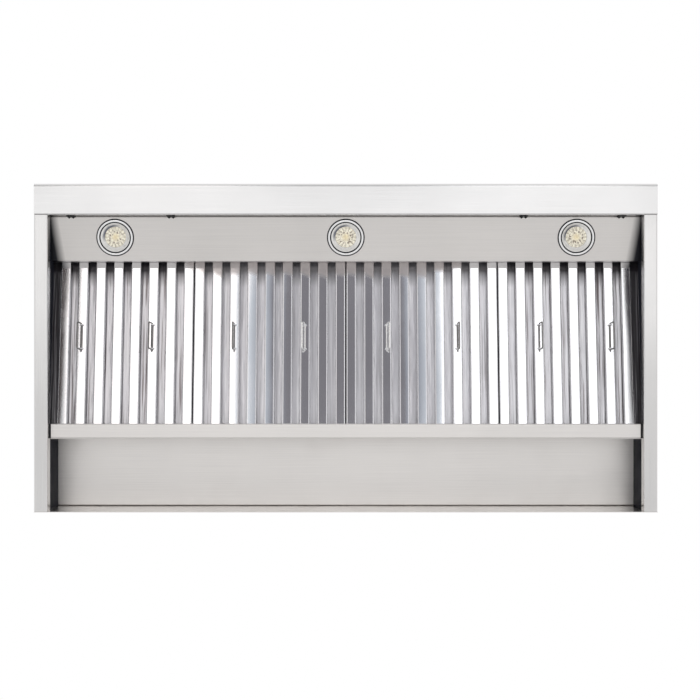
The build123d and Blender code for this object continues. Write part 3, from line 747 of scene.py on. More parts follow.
def side_tone(tree, here):
    """Near-black blue and brown folds, which the outer ridges reflect."""
    folds = noise(tree, stretched(tree, here, (34.0, 1.5, 1.0)), 1.0)
    hue = mixed(tree, map_range(tree, folds, 0.40, 0.60, 0.0, 1.0), (0.012, 0.013, 0.022, 1.0),
                (0.055, 0.036, 0.030, 1.0))
    return mixed(tree, map_range(tree, folds, 0.66, 0.70, 0.0, 0.4), hue, (0.5, 0.5, 0.54, 1.0))


def painted_panel_end_shade(tree, here):
    """Mask of painted shade on the light panel's two ends, where the rim's sides keep it dark."""
    x, y, _ = split(tree, here)
    along = map_range(tree, y, -0.2515, -0.166, 0.564, 0.551)
    past = maths(tree, "SUBTRACT", maths(tree, "ABSOLUTE", x), along)
    return map_range(tree, past, -0.015, 0.003, 0.0, 0.98)


def painted_ridge_top_reflection(tree, here):
    """Mask of a painted reflection on the ridges' upper ends, standing in for the light panel's brown
    edge that they mirror.
    """
    x, y, _ = split(tree, here)
    slanted = maths(tree, "MULTIPLY_ADD", own_place(tree)["X"], -0.30, y)
    edge = maths(tree, "MULTIPLY_ADD", noise(tree, here, 16.0, 1.0), 0.024, slanted)
    outer = map_range(tree, maths(tree, "ABSOLUTE", maths(tree, "ADD", x, 0.05)), 0.20, 0.36, 0.0,
                      0.05)
    return map_range(tree, maths(tree, "ADD", edge, outer), -0.133, -0.123, 0.75, 0.0)


def painted_pull_reflection(tree, here):
    """Mask of a painted dark reflection on the outer pulls, standing in for the rim's dark sides that
    they mirror.
    """
    return map_range(tree, maths(tree, "ABSOLUTE", split(tree, here)["X"]), 0.12, 0.18, 0.0, 0.8)


def painted_groove_shade(tree, here):
    """Mask of painted shade on the rear baffles' upper ends, on their edges behind the ridges, and in the
    last grooves.
    """
    x, y, _ = split(tree, here)
    sideways = maths(tree, "ABSOLUTE", x)
    across = maths(tree, "MULTIPLY_ADD", noise(tree, here, 14.0, 1.0), 0.002,
                   maths(tree, "ABSOLUTE", own_place(tree)["X"]))
    edge = maths(tree, "MULTIPLY", map_range(tree, across, 0.0058, 0.0104, 0.0, 0.62),
                 map_range(tree, sideways, 0.20, 0.34, 0.15, 1.0))
    lines = noise(tree, stretched(tree, here, (420.0, 5.0, 5.0)), 1.0, 1.0)
    end = maths(tree, "MULTIPLY", map_range(tree, sideways, 0.538, 0.550, 0.0, 0.93),
                map_range(tree, lines, 0.50, 0.66, 1.0, 0.6))
    top = maths(tree, "MULTIPLY", map_range(tree, y, -0.150, -0.118, 0.96, 0.0),
                map_range(tree, sideways, 0.20, 0.34, 0.72, 1.0))
    return maths(tree, "MAXIMUM", maths(tree, "MAXIMUM", top, end), edge)


def groove_streaks(tree, here, tone):
    """Painted reflections: the wavering bright and dark lines that a rear baffle mirrors from the ridges
    beside it.
    """
    lines = noise(tree, stretched(tree, here, (330.0, 6.0, 6.0)), 1.0)
    outer = map_range(tree, maths(tree, "ABSOLUTE", split(tree, here)["X"]), 0.20, 0.34, 0.25, 1.0)
    low = maths(tree, "MULTIPLY", map_range(tree, lines, 0.30, 0.46, 1.0, 0.0), outer)
    brown = mixed(tree, low, tone, (0.20, 0.165, 0.17, 1.0))
    return mixed(tree, map_range(tree, lines, 0.54, 0.66, 0.0, 1.0), brown, (0.96, 0.95, 0.98, 1.0))


def painted_crescent_reflection(tree, here):
    """Mask of a painted reflection: the dark crescent that a lamp's bowl mirrors on its far side."""
    x, y, _ = own_place(tree)
    lean = maths(tree, "MULTIPLY", maths(tree, "ADD", x, y), -0.707)
    across = map_range(tree, lean, 0.007, 0.018, 0.0, 1.0)
    near = map_range(tree, reach_of(tree, x, y), 0.0225, 0.0255, 0.9, 0.0)
    return maths(tree, "MULTIPLY", across, near)


def make_finishes(context):
    """Builds the shared groups and every material, and returns the materials by finish."""
    metals = context.scene.hood_finishes
    lamps = context.scene.hood_lamps
    groups = {"grain": brushed_grain(), "waves": sheet_waves(), "marks": handling_marks(),
              "spangle": zinc_spangle()}
    steel, polished = tuple(metals.stainless), tuple(metals.baffle)
    across = (6.0, 900.0, 900.0)
    along = (1500.0, 5.0, 1500.0)

    def brushed(name, *values, **more):
        return brushed_metal(name, groups, *values, **more)

    def painted(name, *values, **more):
        return coated(name, groups, *values, **more)

    return {
        "rim": brushed("Rim steel", (0.765, 0.76, 0.76), 0.16, across, spread=0.012,
                       wave_depth=0.00003, marks=0.015),
        "rim side": brushed("Rim side steel", (0.765, 0.755, 0.75), 0.20, (900.0, 6.0, 900.0),
                            spread=0.03, wave_depth=0.0001),
        "panel": brushed("Panel steel", steel, 0.38, across, wave_depth=0.0008),
        # The light panel's ends get painted shade.
        "light panel": brushed("Light panel steel", steel, 0.38, across, wave_depth=0.0006,
                               shade=painted_panel_end_shade),
        # A lighter copy of the stainless colour: painted light on the recess panel and the trough.
        "rear panel": brushed("Rear panel steel painted lighter", (0.815, 0.79, 0.77), 0.38, across,
                              wave_depth=0.0006),
        # A still lighter copy of the stainless colour: painted light on the rear strip.
        "strip": brushed("Rear strip steel painted lighter", (0.90, 0.875, 0.85), 0.20, across),
        # The linings' near-black colour is painted shade: dark steel for the shaded inside of the rim's
        # sides.
        "lining": painted("Lining steel in painted shade", (0.009, 0.010, 0.017), 0.62, speckle=120.0, gloss=0.1),
        # The baffles' upper ends get a painted reflection of the light panel's brown edge, and are dull
        # where it lies.
        "baffle": brushed("Baffle steel", polished, 0.05, along, spread=0.02, depth=0.000004,
                          waves=(9.0, 4.0, 9.0), wave_depth=0.0003, marks=0.03,
                          shade=painted_ridge_top_reflection, shade_colour=(0.42, 0.37, 0.36), dull=True),
        # The rear baffles get painted shade and painted reflections in their grooves.
        "rear baffle": brushed("Rear baffle steel", (0.84, 0.83, 0.87), 0.18, along, spread=0.03,
                               depth=0.000004, waves=(150.0, 2.5, 150.0), wave_depth=0.0002,
                               shade=painted_groove_shade, shade_colour=(0.03, 0.025, 0.032),
                               metallic=0.3, streaks=groove_streaks),
        "frame": brushed("Filter frame steel", polished, 0.12, along, spread=0.03,
                         depth=0.000004, wave_depth=0.0002),
        # The outer pulls get a painted dark reflection.
        "wire": brushed("Pull wire", (0.92, 0.91, 0.90), 0.12, (300.0, 300.0, 300.0), depth=0.0,
                        wave_depth=0.0, shade=painted_pull_reflection, shade_colour=(0.10, 0.09, 0.09)),
        "chrome": brushed("Bezel chrome", (0.97, 0.97, 0.98), 0.10, (500.0, 500.0, 500.0),
                          spread=0.03, depth=0.0, wave_depth=0.0001),
        # The reflector gets a painted dark crescent of reflection.
        "reflector": painted("Lamp reflector", (0.86, 0.85, 0.83), 0.10, metallic=0.3,
                             depth=0.00001, coat=0.8, marks=0.05, shade=painted_crescent_reflection,
                             shade_colour=(0.05, 0.06, 0.10)),
        # Near-black: the dark gap round each reflector, and painted shade round each bezel.
        "gasket": painted("Lamp gasket and painted shade", (0.010, 0.012, 0.018), 0.5, gloss=0.2),
        "lens": frosted_lens(groups, tuple(lamps.lens_colour), lamps.petals, lamps.lens_radius),
        # Near-black: dark spring steel, darkened further as painted shade for the shadowed clips and the
        # trough's end caps.
        "clip": painted("Clip steel in painted shade", (0.02, 0.02, 0.022), 0.4, metallic=0.7),
        "zinc": zinc_coat("Galvanised sheet", groups, tuple(metals.zinc), 130.0),
        "plated": zinc_coat("Zinc plating", groups, (0.62, 0.63, 0.64), 300.0, roughness=0.28),
        "aluminium": brushed("Damper aluminium", (0.80, 0.81, 0.82), 0.34, (5.0, 700.0, 700.0)),
        "motor": painted("Motor paint", (0.02, 0.02, 0.022), 0.38, coat=0.3, depth=0.0001),
        "driver": painted("Driver case", (0.82, 0.81, 0.78), 0.5, speckle=700.0),
        "plastic": painted("Black plastic", (0.015, 0.015, 0.016), 0.45, speckle=900.0),
    }


FRAME_FINISHES = {
    "rim": ["front_panel"],
    "rim side": ["right_side_panel", "left_side_panel"],
    "strip": ["rear_panel"],
    "lining": ["right_side_lining", "left_side_lining"],
    "rear panel": ["recess_panel", "grease_trough"],
    "clip": ["trough_end_caps", "panel_clips"],
    "light panel": ["light_panel"],
    "panel": ["filter_header"],
    "frame": [f"filter_{number}_frame" for number in range(1, 5)],
    "zinc": ["lamp_boxes", "top_panel", "scroll_wrap", "scroll_sides", "outlet_plate",
             "inlet_rings", "junction_box"],
    "plated": ["motor_shaft", "motor_arms"],
}


# Operators ---------------------------------------------------------------------------------------


class HOOD_OT_stage(bpy.types.Operator):
    """Sets up the camera, the pale floor, the soft lights and the cards that the steel reflects"""

    bl_idname = "hood.stage"
    bl_label = "Stage"

    def execute(self, context):
        """Builds the studio."""
        stage = context.scene.hood_stage
        deselect()
        bpy.ops.object.camera_add(location=(*CAMERA_SPOT, -stage.camera_drop),
                                  rotation=(pi, 0, 0))
        camera = context.object
        camera.data.lens = stage.lens
        camera.data.sensor_width = 36
        camera.data.clip_end = 50
        context.scene.camera = camera

        deselect()
        bpy.ops.mesh.primitive_plane_add(size=16, location=(0, 0, -stage.floor_drop))
        floor = started("Studio_floor")
        paper, tree, shader, here = start_material("Studio paper")
        pale = tuple(stage.floor_colour)
        tone = mixed(tree, noise(tree, here, 3.0), shaded(pale, 0.99), shaded(pale, 1.0))
        feed(tree, shader, {"Base Color": tone, "Roughness": 0.9})
        dress(floor, paper)

        world = bpy.data.worlds.new("Studio")
        context.scene.world = world
        world.use_nodes = True
        feed(world.node_tree, world.node_tree.nodes["Background"],
             {"Color": (1.0, 1.0, 1.0, 1.0), "Strength": 1.0})
        context.scene.view_settings.view_transform = "Standard"

        for name, middle, size, glow, tint in (
            ("Left_card", (-CARD_X, MIRRORED_Y), CARD_SIZE, stage.card_glow, (1.0, 0.93, 0.88)),
            ("Right_card", (CARD_X, MIRRORED_Y), CARD_SIZE, stage.card_glow, (1.0, 1.0, 1.0)),
            ("Near_card", (0.0, -0.42), (3.8, 0.76), stage.near_glow, (1.0, 1.0, 1.0)),
        ):
            self.card(name, (*middle, CARD_LIFT - stage.floor_drop), size, glow, tint)
        for name, middle, half, slant, cloth in (
            ("Middle_flag", -0.025, 0.42, 0.0, black_cloth("Middle cloth", middle_tone)),
            ("Left_flag", -FLAG_X, 0.35, -FLAG_SLANT, black_cloth("Left cloth", side_tone)),
            ("Right_flag", FLAG_X, 0.35, FLAG_SLANT, black_cloth("Right cloth", side_tone)),
        ):
            self.flag(name, (middle, MIRRORED_Y, FLAG_LIFT - stage.floor_drop), half, slant, cloth)
        return {"FINISHED"}

    def card(self, name, spot, size, glow, tint):
        """One glowing card on the floor, which the camera doesn't see."""
        deselect()
        bpy.ops.object.light_add(type="AREA", location=spot, rotation=(pi, 0, 0))
        card = bpy.context.object
        card.name = name
        card.data.shape = "RECTANGLE"
        card.data.size, card.data.size_y = size
        card.data.energy = glow * size[0] * size[1] * GLOW_POWER
        card.data.color = tint
        card.visible_camera = False

    def flag(self, name, spot, half, slant, cloth):
        """One cloth that shows only in reflections, nearer the hood than the cards."""
        deselect()
        bpy.ops.mesh.primitive_plane_add(size=1, location=spot)
        bpy.context.object.scale = (half * 2, FLAG_LENGTH, 1)
        flag = started(name)
        for far, way in ((True, -1), (False, 1)):
            pick(flag, "VERT", lambda co: (co.y < MIRRORED_Y) == far)
            bpy.ops.transform.translate(value=(slant * way, 0, 0))
        leave_edit()
        flag.visible_camera = False
        flag.visible_shadow = False
        flag.visible_diffuse = False
        dress(flag, cloth)


class HOOD_OT_finishes(bpy.types.Operator):
    """Gives every part of the frame the finish of the real one"""

    bl_idname = "hood.finishes"
    bl_label = "Finishes"

    def execute(self, context):
        """Dresses the frame's nodes that no piece replaces."""
        finishes.update(make_finishes(context))
        for finish, nodes in FRAME_FINISHES.items():
            for node in nodes:
                dress(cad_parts[node], finishes[finish])
        return {"FINISHED"}


class HOOD_OT_lamps(bpy.types.Operator):
    """Builds the chromed bezels, the reflectors and the lenses of the round lamps"""

    bl_idname = "hood.lamps"
    bl_label = "Lamps"

    def execute(self, context):
        """Models one lamp and copies it to the three holes."""
        lamps = context.scene.hood_lamps
        places = [at(*spot) @ turn(LAMP_SLOPE, "X") for spot in LAMP_SPOTS]
        outer, bore, lens = (size / MM for size in
                             (lamps.bezel_radius, lamps.bezel_bore, lamps.lens_radius))
        inner, rim = bore + 0.6, outer - 1.6
        ring = turned("Bezel", [
            (inner, 0.4), (inner, -2.1), (inner + 0.4, -2.5), (inner + 1.1, -2.6),
            (rim - 0.4, -2.4), (rim, -1.9), (rim, 0.4),
        ], 96)
        rounded(ring, 0.2, 2, 20)
        smooth(ring, 60)
        settle(repeated(ring, places, "Lamp_bezels"), "chrome", "hood", "lamp_chrome",
               "lamp_bezels")

        # The near-black outer ring is painted shade for the contact shadow under the bezel's edge; the
        # inner gasket fills the dark gap round the reflector.
        seal = turned("Outer shade ring", [
            (rim + 0.05, -0.05), (rim + 0.05, -1.1), (outer, -1.0), (outer + 0.6, -0.5),
            (outer + 0.6, -0.05),
        ], 96)
        groove = turned("Inner gasket", [
            (bore - 1.6, 0.5), (bore - 1.6, -1.2), (inner - 0.05, -1.2), (inner - 0.05, 0.5),
        ], 96)
        gaskets = repeated(joined([seal, groove], "Gasket"), places, "Lamp_gaskets_and_shade_rings")
        smooth(gaskets)
        settle(gaskets, "gasket", "hood", "black_plastic")

        bowl = turned("Reflector", [
            (0, 24), (bore - 0.2, 24), (bore - 0.2, 0.9), (bore - 1.7, 0.9), (bore - 1.8, -0.7),
            (bore - 2.8, -0.2), (bore - 4.4, 1.4), (bore - 6.6, 3.2), (lens + 1.6, 4.6),
            (lens + 0.3, 5.2), (lens + 0.2, 7.1), (0, 7.1),
        ], 96)
        smooth(bowl, 40)
        remember(bowl)
        settle(repeated(bowl, places, "Lamp_reflectors"), "reflector", "hood", "lamp_housing",
               "lamp_modules")

        petals = lamps.petals * 2
        face = turned("Lens", [
            (0, 6.9), (lens, 6.9), (lens, 5.3), (lens - 0.7, 4.9), (lens * 0.80, 4.6),
            (lens * 0.50, 4.9), (lens * 0.22, 4.5), (0, 4.7),
        ], petals)

        def petal_edge(co):
            around = Vector((1, 0)).angle_signed(co.xy, 0) / (2 * pi) * petals
            on_face = 0.15 < co.xy.length / (lens * MM) < 0.9 and co.z < 5 * MM
            return on_face and round(around) % 2 == 0

        pick(face, "VERT", petal_edge)
        shift(0, 0, 0.7)
        leave_edit()
        smooth(face, 12)
        remember(face)
        settle(repeated(face, places, "Lamp_lenses"), "lens", "hood", "lamp_lens", "lamp_lenses")
        return {"FINISHED"}


class HOOD_OT_filters(bpy.types.Operator):
    """Builds the folded ridges of the baffle filters, with the ears for their pulls"""

    bl_idname = "hood.filters"
    bl_label = "Filters"

    def execute(self, context):
        """Folds one ridge, sets nine side by side and copies them to the four filters."""
        sizes = context.scene.hood_filters
        pitch = sizes.ridge_pitch / MM
        offsets = [pitch * (i - (sizes.ridges - 1) / 2) for i in range(sizes.ridges)]
        middles = [(a + b) / 2 for a, b in zip(offsets, offsets[1:])]
        for number, centre in enumerate(FILTER_CENTRES, start=1):
            spot = at(centre, *FILTER_FOOT) @ turn(-FILTER_SLOPE, "X")
            ridge = self.channel("Ridge", sizes, sizes.ridge_width / MM)
            ridges = repeated(ridge, [at(x, 0, 0) for x in offsets], "Ridges")
            ears = [self.ear(x, PULL_MIDDLE + y, sizes.wire / MM / 2 + 0.12)
                    for x in (offsets[2], offsets[-3]) for y in (-EAR_SHIFT, EAR_SHIFT)]
            front = joined([ridges, *ears], f"Filter_{number}_front_baffles")
            place(front, spot)
            settle(front, "baffle", f"filter_{number}", "filter_steel",
                   f"filter_{number}_front_baffles")

            back = self.channel("Trough", sizes, sizes.rear_width / MM, crown=1.1)
            flipped = [at(x, 0, REAR_BAFFLE_FACE) @ turn(pi, "Y") for x in middles]
            rear = repeated(back, flipped, f"Filter_{number}_rear_baffles")
            place(rear, spot)
            settle(rear, "rear baffle", f"filter_{number}", "filter_steel",
                   f"filter_{number}_rear_baffles")
        return {"FINISHED"}

    def channel(self, name, sizes, width, crown=0.0):
        """A folded strip, face down at the height zero, with its legs upwards."""
        deselect()
        bpy.ops.mesh.primitive_grid_add(x_subdivisions=4, y_subdivisions=12, size=1)
        strip = bpy.context.object
        strip.scale = (width * MM, sizes.length, 1)
        strip.location = (0, -BAFFLE_START * MM - sizes.length / 2, 0)
        strip = started(name)
        fold = sizes.fold_radius / MM
        near = width / 4
        pick(strip, "VERT", lambda co: abs(abs(co.x) - near * MM) < NEAR)
        resize((width / 2 - fold - 0.4) / near, 1, 1)
        if crown:
            pick(strip, "VERT", lambda co: abs(co.x) < NEAR)
            shift(0, 0, -crown)
        side = width / 2 * MM - WELD
        pick(strip, "EDGE", lambda a, b: abs(a.x) > side and abs(b.x) > side and a.x * b.x > 0)
        extrude(0, 0, BAFFLE_LEG)
        leave_edit()
        rounded(strip, fold, 4, 60)
        tidy_mesh(strip)
        face = max(strip.data.polygons, key=lambda face: face.area)
        modify(strip, "SOLIDIFY", thickness=BAFFLE_SHEET * MM,
               offset=-1.0 if face.normal.z < 0 else 1.0)
        smooth(strip, 40)
        remember(strip)
        return strip

    def ear(self, x, y, hole):
        """One pierced ear, two sheets thick and bent out of a ridge, for a pull's wire."""
        half = BAFFLE_SHEET
        ear = turned("Ear", [(hole, -half), (4, -half), (4, half), (hole, half)], 32)
        place(ear, at(x, y, PULL_PIVOT) @ turn(pi / 2, "X"))

        def upper_rim(centre, normal):
            out = Vector((centre.x - x * MM, centre.z - PULL_PIVOT * MM)).length
            upper = normal.z > 0.35 and centre.z > -2.5 * MM
            return upper and abs(normal.y) < 0.2 and out > 3 * MM

        pick(ear, "FACE", upper_rim)
        extrude(0, 0, 2.5)
        resize(1.25, 1, 0, (x, y, 0))
        tidy_mesh(ear)
        smooth(ear, 40)
        return ear


class HOOD_OT_pulls(bpy.types.Operator):
    """Bends the wire pulls that lift the filters out"""

    bl_idname = "hood.pulls"
    bl_label = "Pulls"

    def execute(self, context):
        """Bends one closed loop for each pull."""
        sizes = context.scene.hood_filters
        half, drop = 25.5, -25
        sways = iter(sizes.sway)
        for number, centre in enumerate(FILTER_CENTRES, start=1):
            for side, aside in (("left", -PULL_SHIFT), ("right", PULL_SHIFT)):
                pull = wire(f"Filter_{number}_{side}_pull", [
                    (0, 0, PULL_PIVOT), (0, -half, PULL_PIVOT), (0, -half, drop), (0, half, drop),
                    (0, half, PULL_PIVOT), (0, 0, PULL_PIVOT),
                ], sizes.wire / MM, 4)
                x = centre + aside
                sway = next(sways) * (1 if x > 0 else -1)
                place(pull, at(x, *FILTER_FOOT) @ turn(-FILTER_SLOPE, "X")
                      @ at(0, PULL_MIDDLE, PULL_PIVOT) @ turn(-sway, "Y")
                      @ at(0, 0, -PULL_PIVOT))
                settle(pull, "wire", f"filter_{number}_{side}_handle", "handle_wire",
                       f"filter_{number}_{side}_handle")
        return {"FINISHED"}


class HOOD_OT_casing(bpy.types.Operator):
    """Folds the plenum casing with its lapped corners and rivets, and the hanging plates"""

    bl_idname = "hood.casing"
    bl_label = "Plenum casing"

    def execute(self, context):
        """Folds the casing, cuts its opening and laps its corners."""
        bore = context.scene.hood_duct.collar_radius / MM - COLLAR_SHEET
        casing = tray("Plenum_casing", (-330, -160, ROOF), (330, 220, CEILING), SHEET, 2 * SHEET,
                      flange=FLANGE)
        opening = drum("Opening", bore, CEILING - 16, CEILING + 14, 96)
        place(opening, at(0, COLLAR_Y, 0))
        cut(casing, opening)
        smooth(casing)
        laps = [box("Lap", (x, y, ROOF + 4), (x + 1, y + 14, CEILING - 3.5), 0.3)
                for x in (-330.9, 329.9) for y in (-157.5, 203.5)]
        rivet = turned("Rivet", [(0, 0), (2.6, 0), (2.4, 0.7), (1.4, 1.3), (0, 1.3)], 16)
        smooth(rivet, 50)
        spots = [at(side * 330.8, y, z) @ turn(side * pi / 2, "Y") for side in (-1, 1)
                 for y in (-150.5, 210.5) for z in range(196, 349, 38)]
        rivets = repeated(rivet, spots, "Rivets")
        settle(joined([casing, *laps, rivets], "Plenum_casing"), "zinc", "hood",
               "galvanised_sheet", "plenum_casing")

        plate = box("Hanger", (-30, -30, ROOF), (30, 30, ROOF + 3))
        round_corners(plate, 6)
        cut(plate, drum("Hole", 4.5, ROOF - 6, ROOF + 9, 32))
        rounded(plate, 0.4, 2)
        smooth(plate)
        corners = [at(x, y, 0) for x in (-540, 540) for y in (-262, 262)]
        settle(repeated(plate, corners, "Hanger_plates"), "zinc", "hood", "galvanised_sheet",
               "hanger_plates")
        return {"FINISHED"}


class HOOD_OT_duct(bpy.types.Operator):
    """Builds the duct collar with its bead and stops, and the two flaps on their pins"""

    bl_idname = "hood.duct"
    bl_label = "Duct collar and damper"

    def execute(self, context):
        """Turns the collar and the pins and cuts the flaps from discs."""
        duct = context.scene.hood_duct
        radius, top, out = (size / MM for size in
                            (duct.collar_radius, duct.collar_height, duct.bead))
        bore = radius - COLLAR_SHEET
        wall = turned("Wall", [
            (radius, 0.6), (radius, 4), (radius + out, 5.5), (radius + out, 7), (radius, 8.5),
            (radius, top - 3), (radius + 0.5, top - 2.2), (radius + 0.5, top - 0.4),
            (radius, top), (bore, top), (bore, 8.5), (bore + out, 7), (bore + out, 5.5),
            (bore, 4), (bore, 0.6),
        ], 128)
        smooth(wall, 50)
        wide = radius + FLANGE
        flange = box("Flange", (-wide, -wide, 0), (wide, wide, COLLAR_SHEET))
        round_corners(flange, 8)
        cut(flange, drum("Bore", bore + 0.2, -10, 10, 128))
        tab = joined([box("Stop", (-3.5, -4, 14.4), (3.4, 4, 15.4), 0.3),
                      box("Leg", (2.4, -4, 8), (3.4, 4, 15), 0.3)], "Stop")
        stops = repeated(tab, [turn(pi / 4 + i * pi / 2, "Z") @ at(123, 0, 0) for i in range(4)],
                         "Stops")
        collar = joined([wall, flange, stops], "Duct_collar")
        place(collar, at(0, COLLAR_Y, CEILING))
        settle(collar, "zinc", "hood", "galvanised_sheet", "duct_collar")

        along = turn(pi / 2, "Y")
        reach = radius - 0.4
        pin = turned("Pin", [(0, -reach), (1.6, -reach), (2, 0.5 - reach), (2, reach - 0.5),
                             (1.6, reach), (0, reach)], 24)
        smooth(pin, 50)
        pins = repeated(pin, [at(0, COLLAR_Y + y, FLAP_HINGE) @ along for y in (-4, 4)], "Damper_pins")
        settle(pins, "plated", "hood", "zinc_plated_steel", "damper_pins")

        for name, side in (("front", -1), ("rear", 1)):
            leaf = drum("Leaf", bore - 4, -0.4, 0.4, 128)
            pick_all(leaf)
            bpy.ops.mesh.bisect(plane_co=(0, side * 6.6 * MM, 0), plane_no=(0, side, 0),
                                use_fill=True, clear_inner=True)
            leave_edit()
            rounded(leaf, 0.2, 2)
            ribs = [box("Rib", (-half, side * y - 3, 0), (half, side * y + 3, 1.6), 0.7, 4)
                    for half, y in ((85, 36), (70, 68), (35, 100))]
            knuckle = turned("Knuckle", [(2.06, -21), (3.25, -21), (3.25, 21), (2.06, 21)], 24)
            barrel = repeated(knuckle, [at(x * 44.5, side * 4, 0) @ along for x in range(-2, 3)],
                              "Barrel")
            flap = joined([leaf, *ribs, barrel], f"{name.title()}_damper_flap")
            smooth(flap)
            place(flap, at(0, COLLAR_Y, FLAP_HINGE))
            settle(flap, "aluminium", f"{name}_flap", "damper_aluminium", f"{name}_damper_flap")
        return {"FINISHED"}


class HOOD_OT_fixings(bpy.types.Operator):
    """Sets the hexagon bolts on the roof, the plenum, the collar and the driver"""

    bl_idname = "hood.fixings"
    bl_label = "Bolts"

    def execute(self, context):
        """Turns one bolt with its washer and copies it to every place."""
        head = turned("Head", [(0, 0.5), (4, 0.5), (4, 2.6), (3.3, 3), (0, 3)], 6)
        washer = turned("Washer", [(0, 0), (5.4, 0), (5.6, 0.3), (5.2, 0.6), (0, 0.6)], 32)
        bolt = joined([head, washer], "Bolt")
        smooth(bolt, 25)
        spots = [(x * 228.4, y, ROOF) for x in range(-2, 3) for y in (-301.5, 301.5)]
        spots += [(x * 220, COLLAR_Y + y, ROOF + SHEET) for x in (-1, 0, 1) for y in (-198, 198)]
        spots += [(-460 + x, 60, ROOF + SHEET) for x in (-97, 97)]
        spots += [(x, COLLAR_Y + y, CEILING + COLLAR_SHEET) for x in (-127, 127) for y in (-127, 127)]
        places = [at(*spot) @ turn(index * 0.7, "Z") for index, spot in enumerate(spots)]
        settle(repeated(bolt, places, "Roof_bolts"), "plated", "hood", "zinc_plated_steel",
               "roof_bolts")
        return {"FINISHED"}


class HOOD_OT_wiring(bpy.types.Operator):
    """Builds the junction box's cover, the gland, the conduit and the lamp driver"""

    bl_idname = "hood.wiring"
    bl_label = "Wiring pieces"

    def execute(self, context):
        """Models each electrical piece on the roof."""
        self.cover()
        self.gland()
        self.conduit()
        self.driver()
        return {"FINISHED"}

    def cover(self):
        """The junction box's raised cover with two screws, and the box's knockouts."""
        cap = tray("Cover", (368.6, 8.6, 217.4), (491.4, 111.4, 225.4), SHEET, SHEET)
        pad = box("Pad", (380, 20, 225), (480, 100, 226.2), 0.5, 3)
        screw = turned("Screw", [(0, 0), (3.4, 0), (3.2, 1.2), (1.8, 1.9), (0, 1.9)], 32)
        cut(screw, box("Slot", (-4, -0.4, 1.1), (4, 0.4, 3)))
        screws = repeated(screw, [at(x, 60, 225.3) @ turn(x * 0.009, "Z")
                                  for x in (374.5, 485.5)], "Screws")
        cover = joined([cap, pad, screws], "Junction_box_cover")
        smooth(cover)
        settle(cover, "zinc", "hood", "galvanised_sheet", "junction_box_cover")

        ring = turned("Knockout", [(9.6, 0), (10, 0.5), (10.8, 0.5), (11.2, 0)], 48)
        smooth(ring, 40)
        sides = [at(x, y, 197) @ turn(angle, "X") for x in (400, 460)
                 for y, angle in ((10.1, pi / 2), (109.9, -pi / 2))]
        settle(repeated(ring, sides, "Knockouts"), "zinc", "hood", "galvanised_sheet")

    def gland(self):
        """The cable gland: a hexagon nut and a ribbed cap."""
        nut = turned("Nut", [(8, 0.1), (12.2, 0.1), (13, 0.8), (13, 5.4), (12.2, 6), (8, 6)], 6)
        smooth(nut, 20)
        steps = 48
        cap = turned("Cap", [
            (5.5, -8), (8.8, -8), (8.8, 6), (11.4, 6.4), (11.6, 10.5), (10.6, 13.4),
            (8.4, 15.4), (6.6, 16), (5.5, 15.4),
        ], steps)

        def fourth_side(centre, normal):
            around = (Vector((1, 0)).angle_signed(centre.xy, 0) + pi) / (2 * pi) * steps
            outside = 7 * MM < centre.z < 10 * MM and centre.xy.length > 11 * MM
            return outside and round(around - 0.5) % 4 == 0

        pick(cap, "FACE", fourth_side)
        bpy.ops.mesh.inset(thickness=0.15 * MM, use_individual=True)
        resize(0.965, 0.965, 1)
        leave_edit()
        smooth(cap, 30)
        gland = joined([nut, cap], "Cable_gland")
        place(gland, at(490, 60, 200) @ turn(pi / 2, "Y"))
        settle(gland, "plastic", "hood", "black_plastic", "cable_gland")

    def conduit(self):
        """The rippled conduit between the junction box and the plenum, with its nuts."""
        ripples = []
        for step in range(12):
            foot = 2.2 + step * 2.9
            ripples += [(7.2, foot), (8.3, foot + 0.9), (8.3, foot + 1.9)]
        pipe = turned("Pipe", [(7.4, 0), *ripples, (7.4, 38), (7.4, 41), (6.4, 41), (6.4, 0)], 32)
        smooth(pipe, 60)
        nuts = [turned("Nut", [(7.5, z), (12.4, z), (13, z + 0.5), (13, z + 1.6), (12.4, z + 2),
                               (7.5, z + 2)], 6) for z in (0.1, 37.8)]
        conduit = joined([pipe, *nuts], "Wiring_conduit")
        place(conduit, at(330.1, 60, 200) @ turn(pi / 2, "Y"))
        settle(conduit, "plated", "hood", "zinc_plated_steel", "wiring_conduit")

    def driver(self):
        """The lamp driver: its case, label and end caps on a footplate."""
        case = box("Case", (-90, -30, 0), (90, 30, 32), 2.2, 4)
        label = box("Label", (-50, -20, 31.8), (30, 20, 32.3), 0.2)
        caps = [box("Cap", (x - 11, -30.2, 4), (x + 11, 30.2, 32.2), 1.2, 3)
                for x in (-79.5, 79.5)]
        foot = box("Foot", (-104, -15, 0), (104, 15, SHEET))
        round_corners(foot, 5)
        driver = joined([case, label, *caps, foot], "Lamp_driver")
        smooth(driver)
        place(driver, at(-460, 60, ROOF))
        settle(driver, "driver", "hood", "driver_case", "lamp_driver")


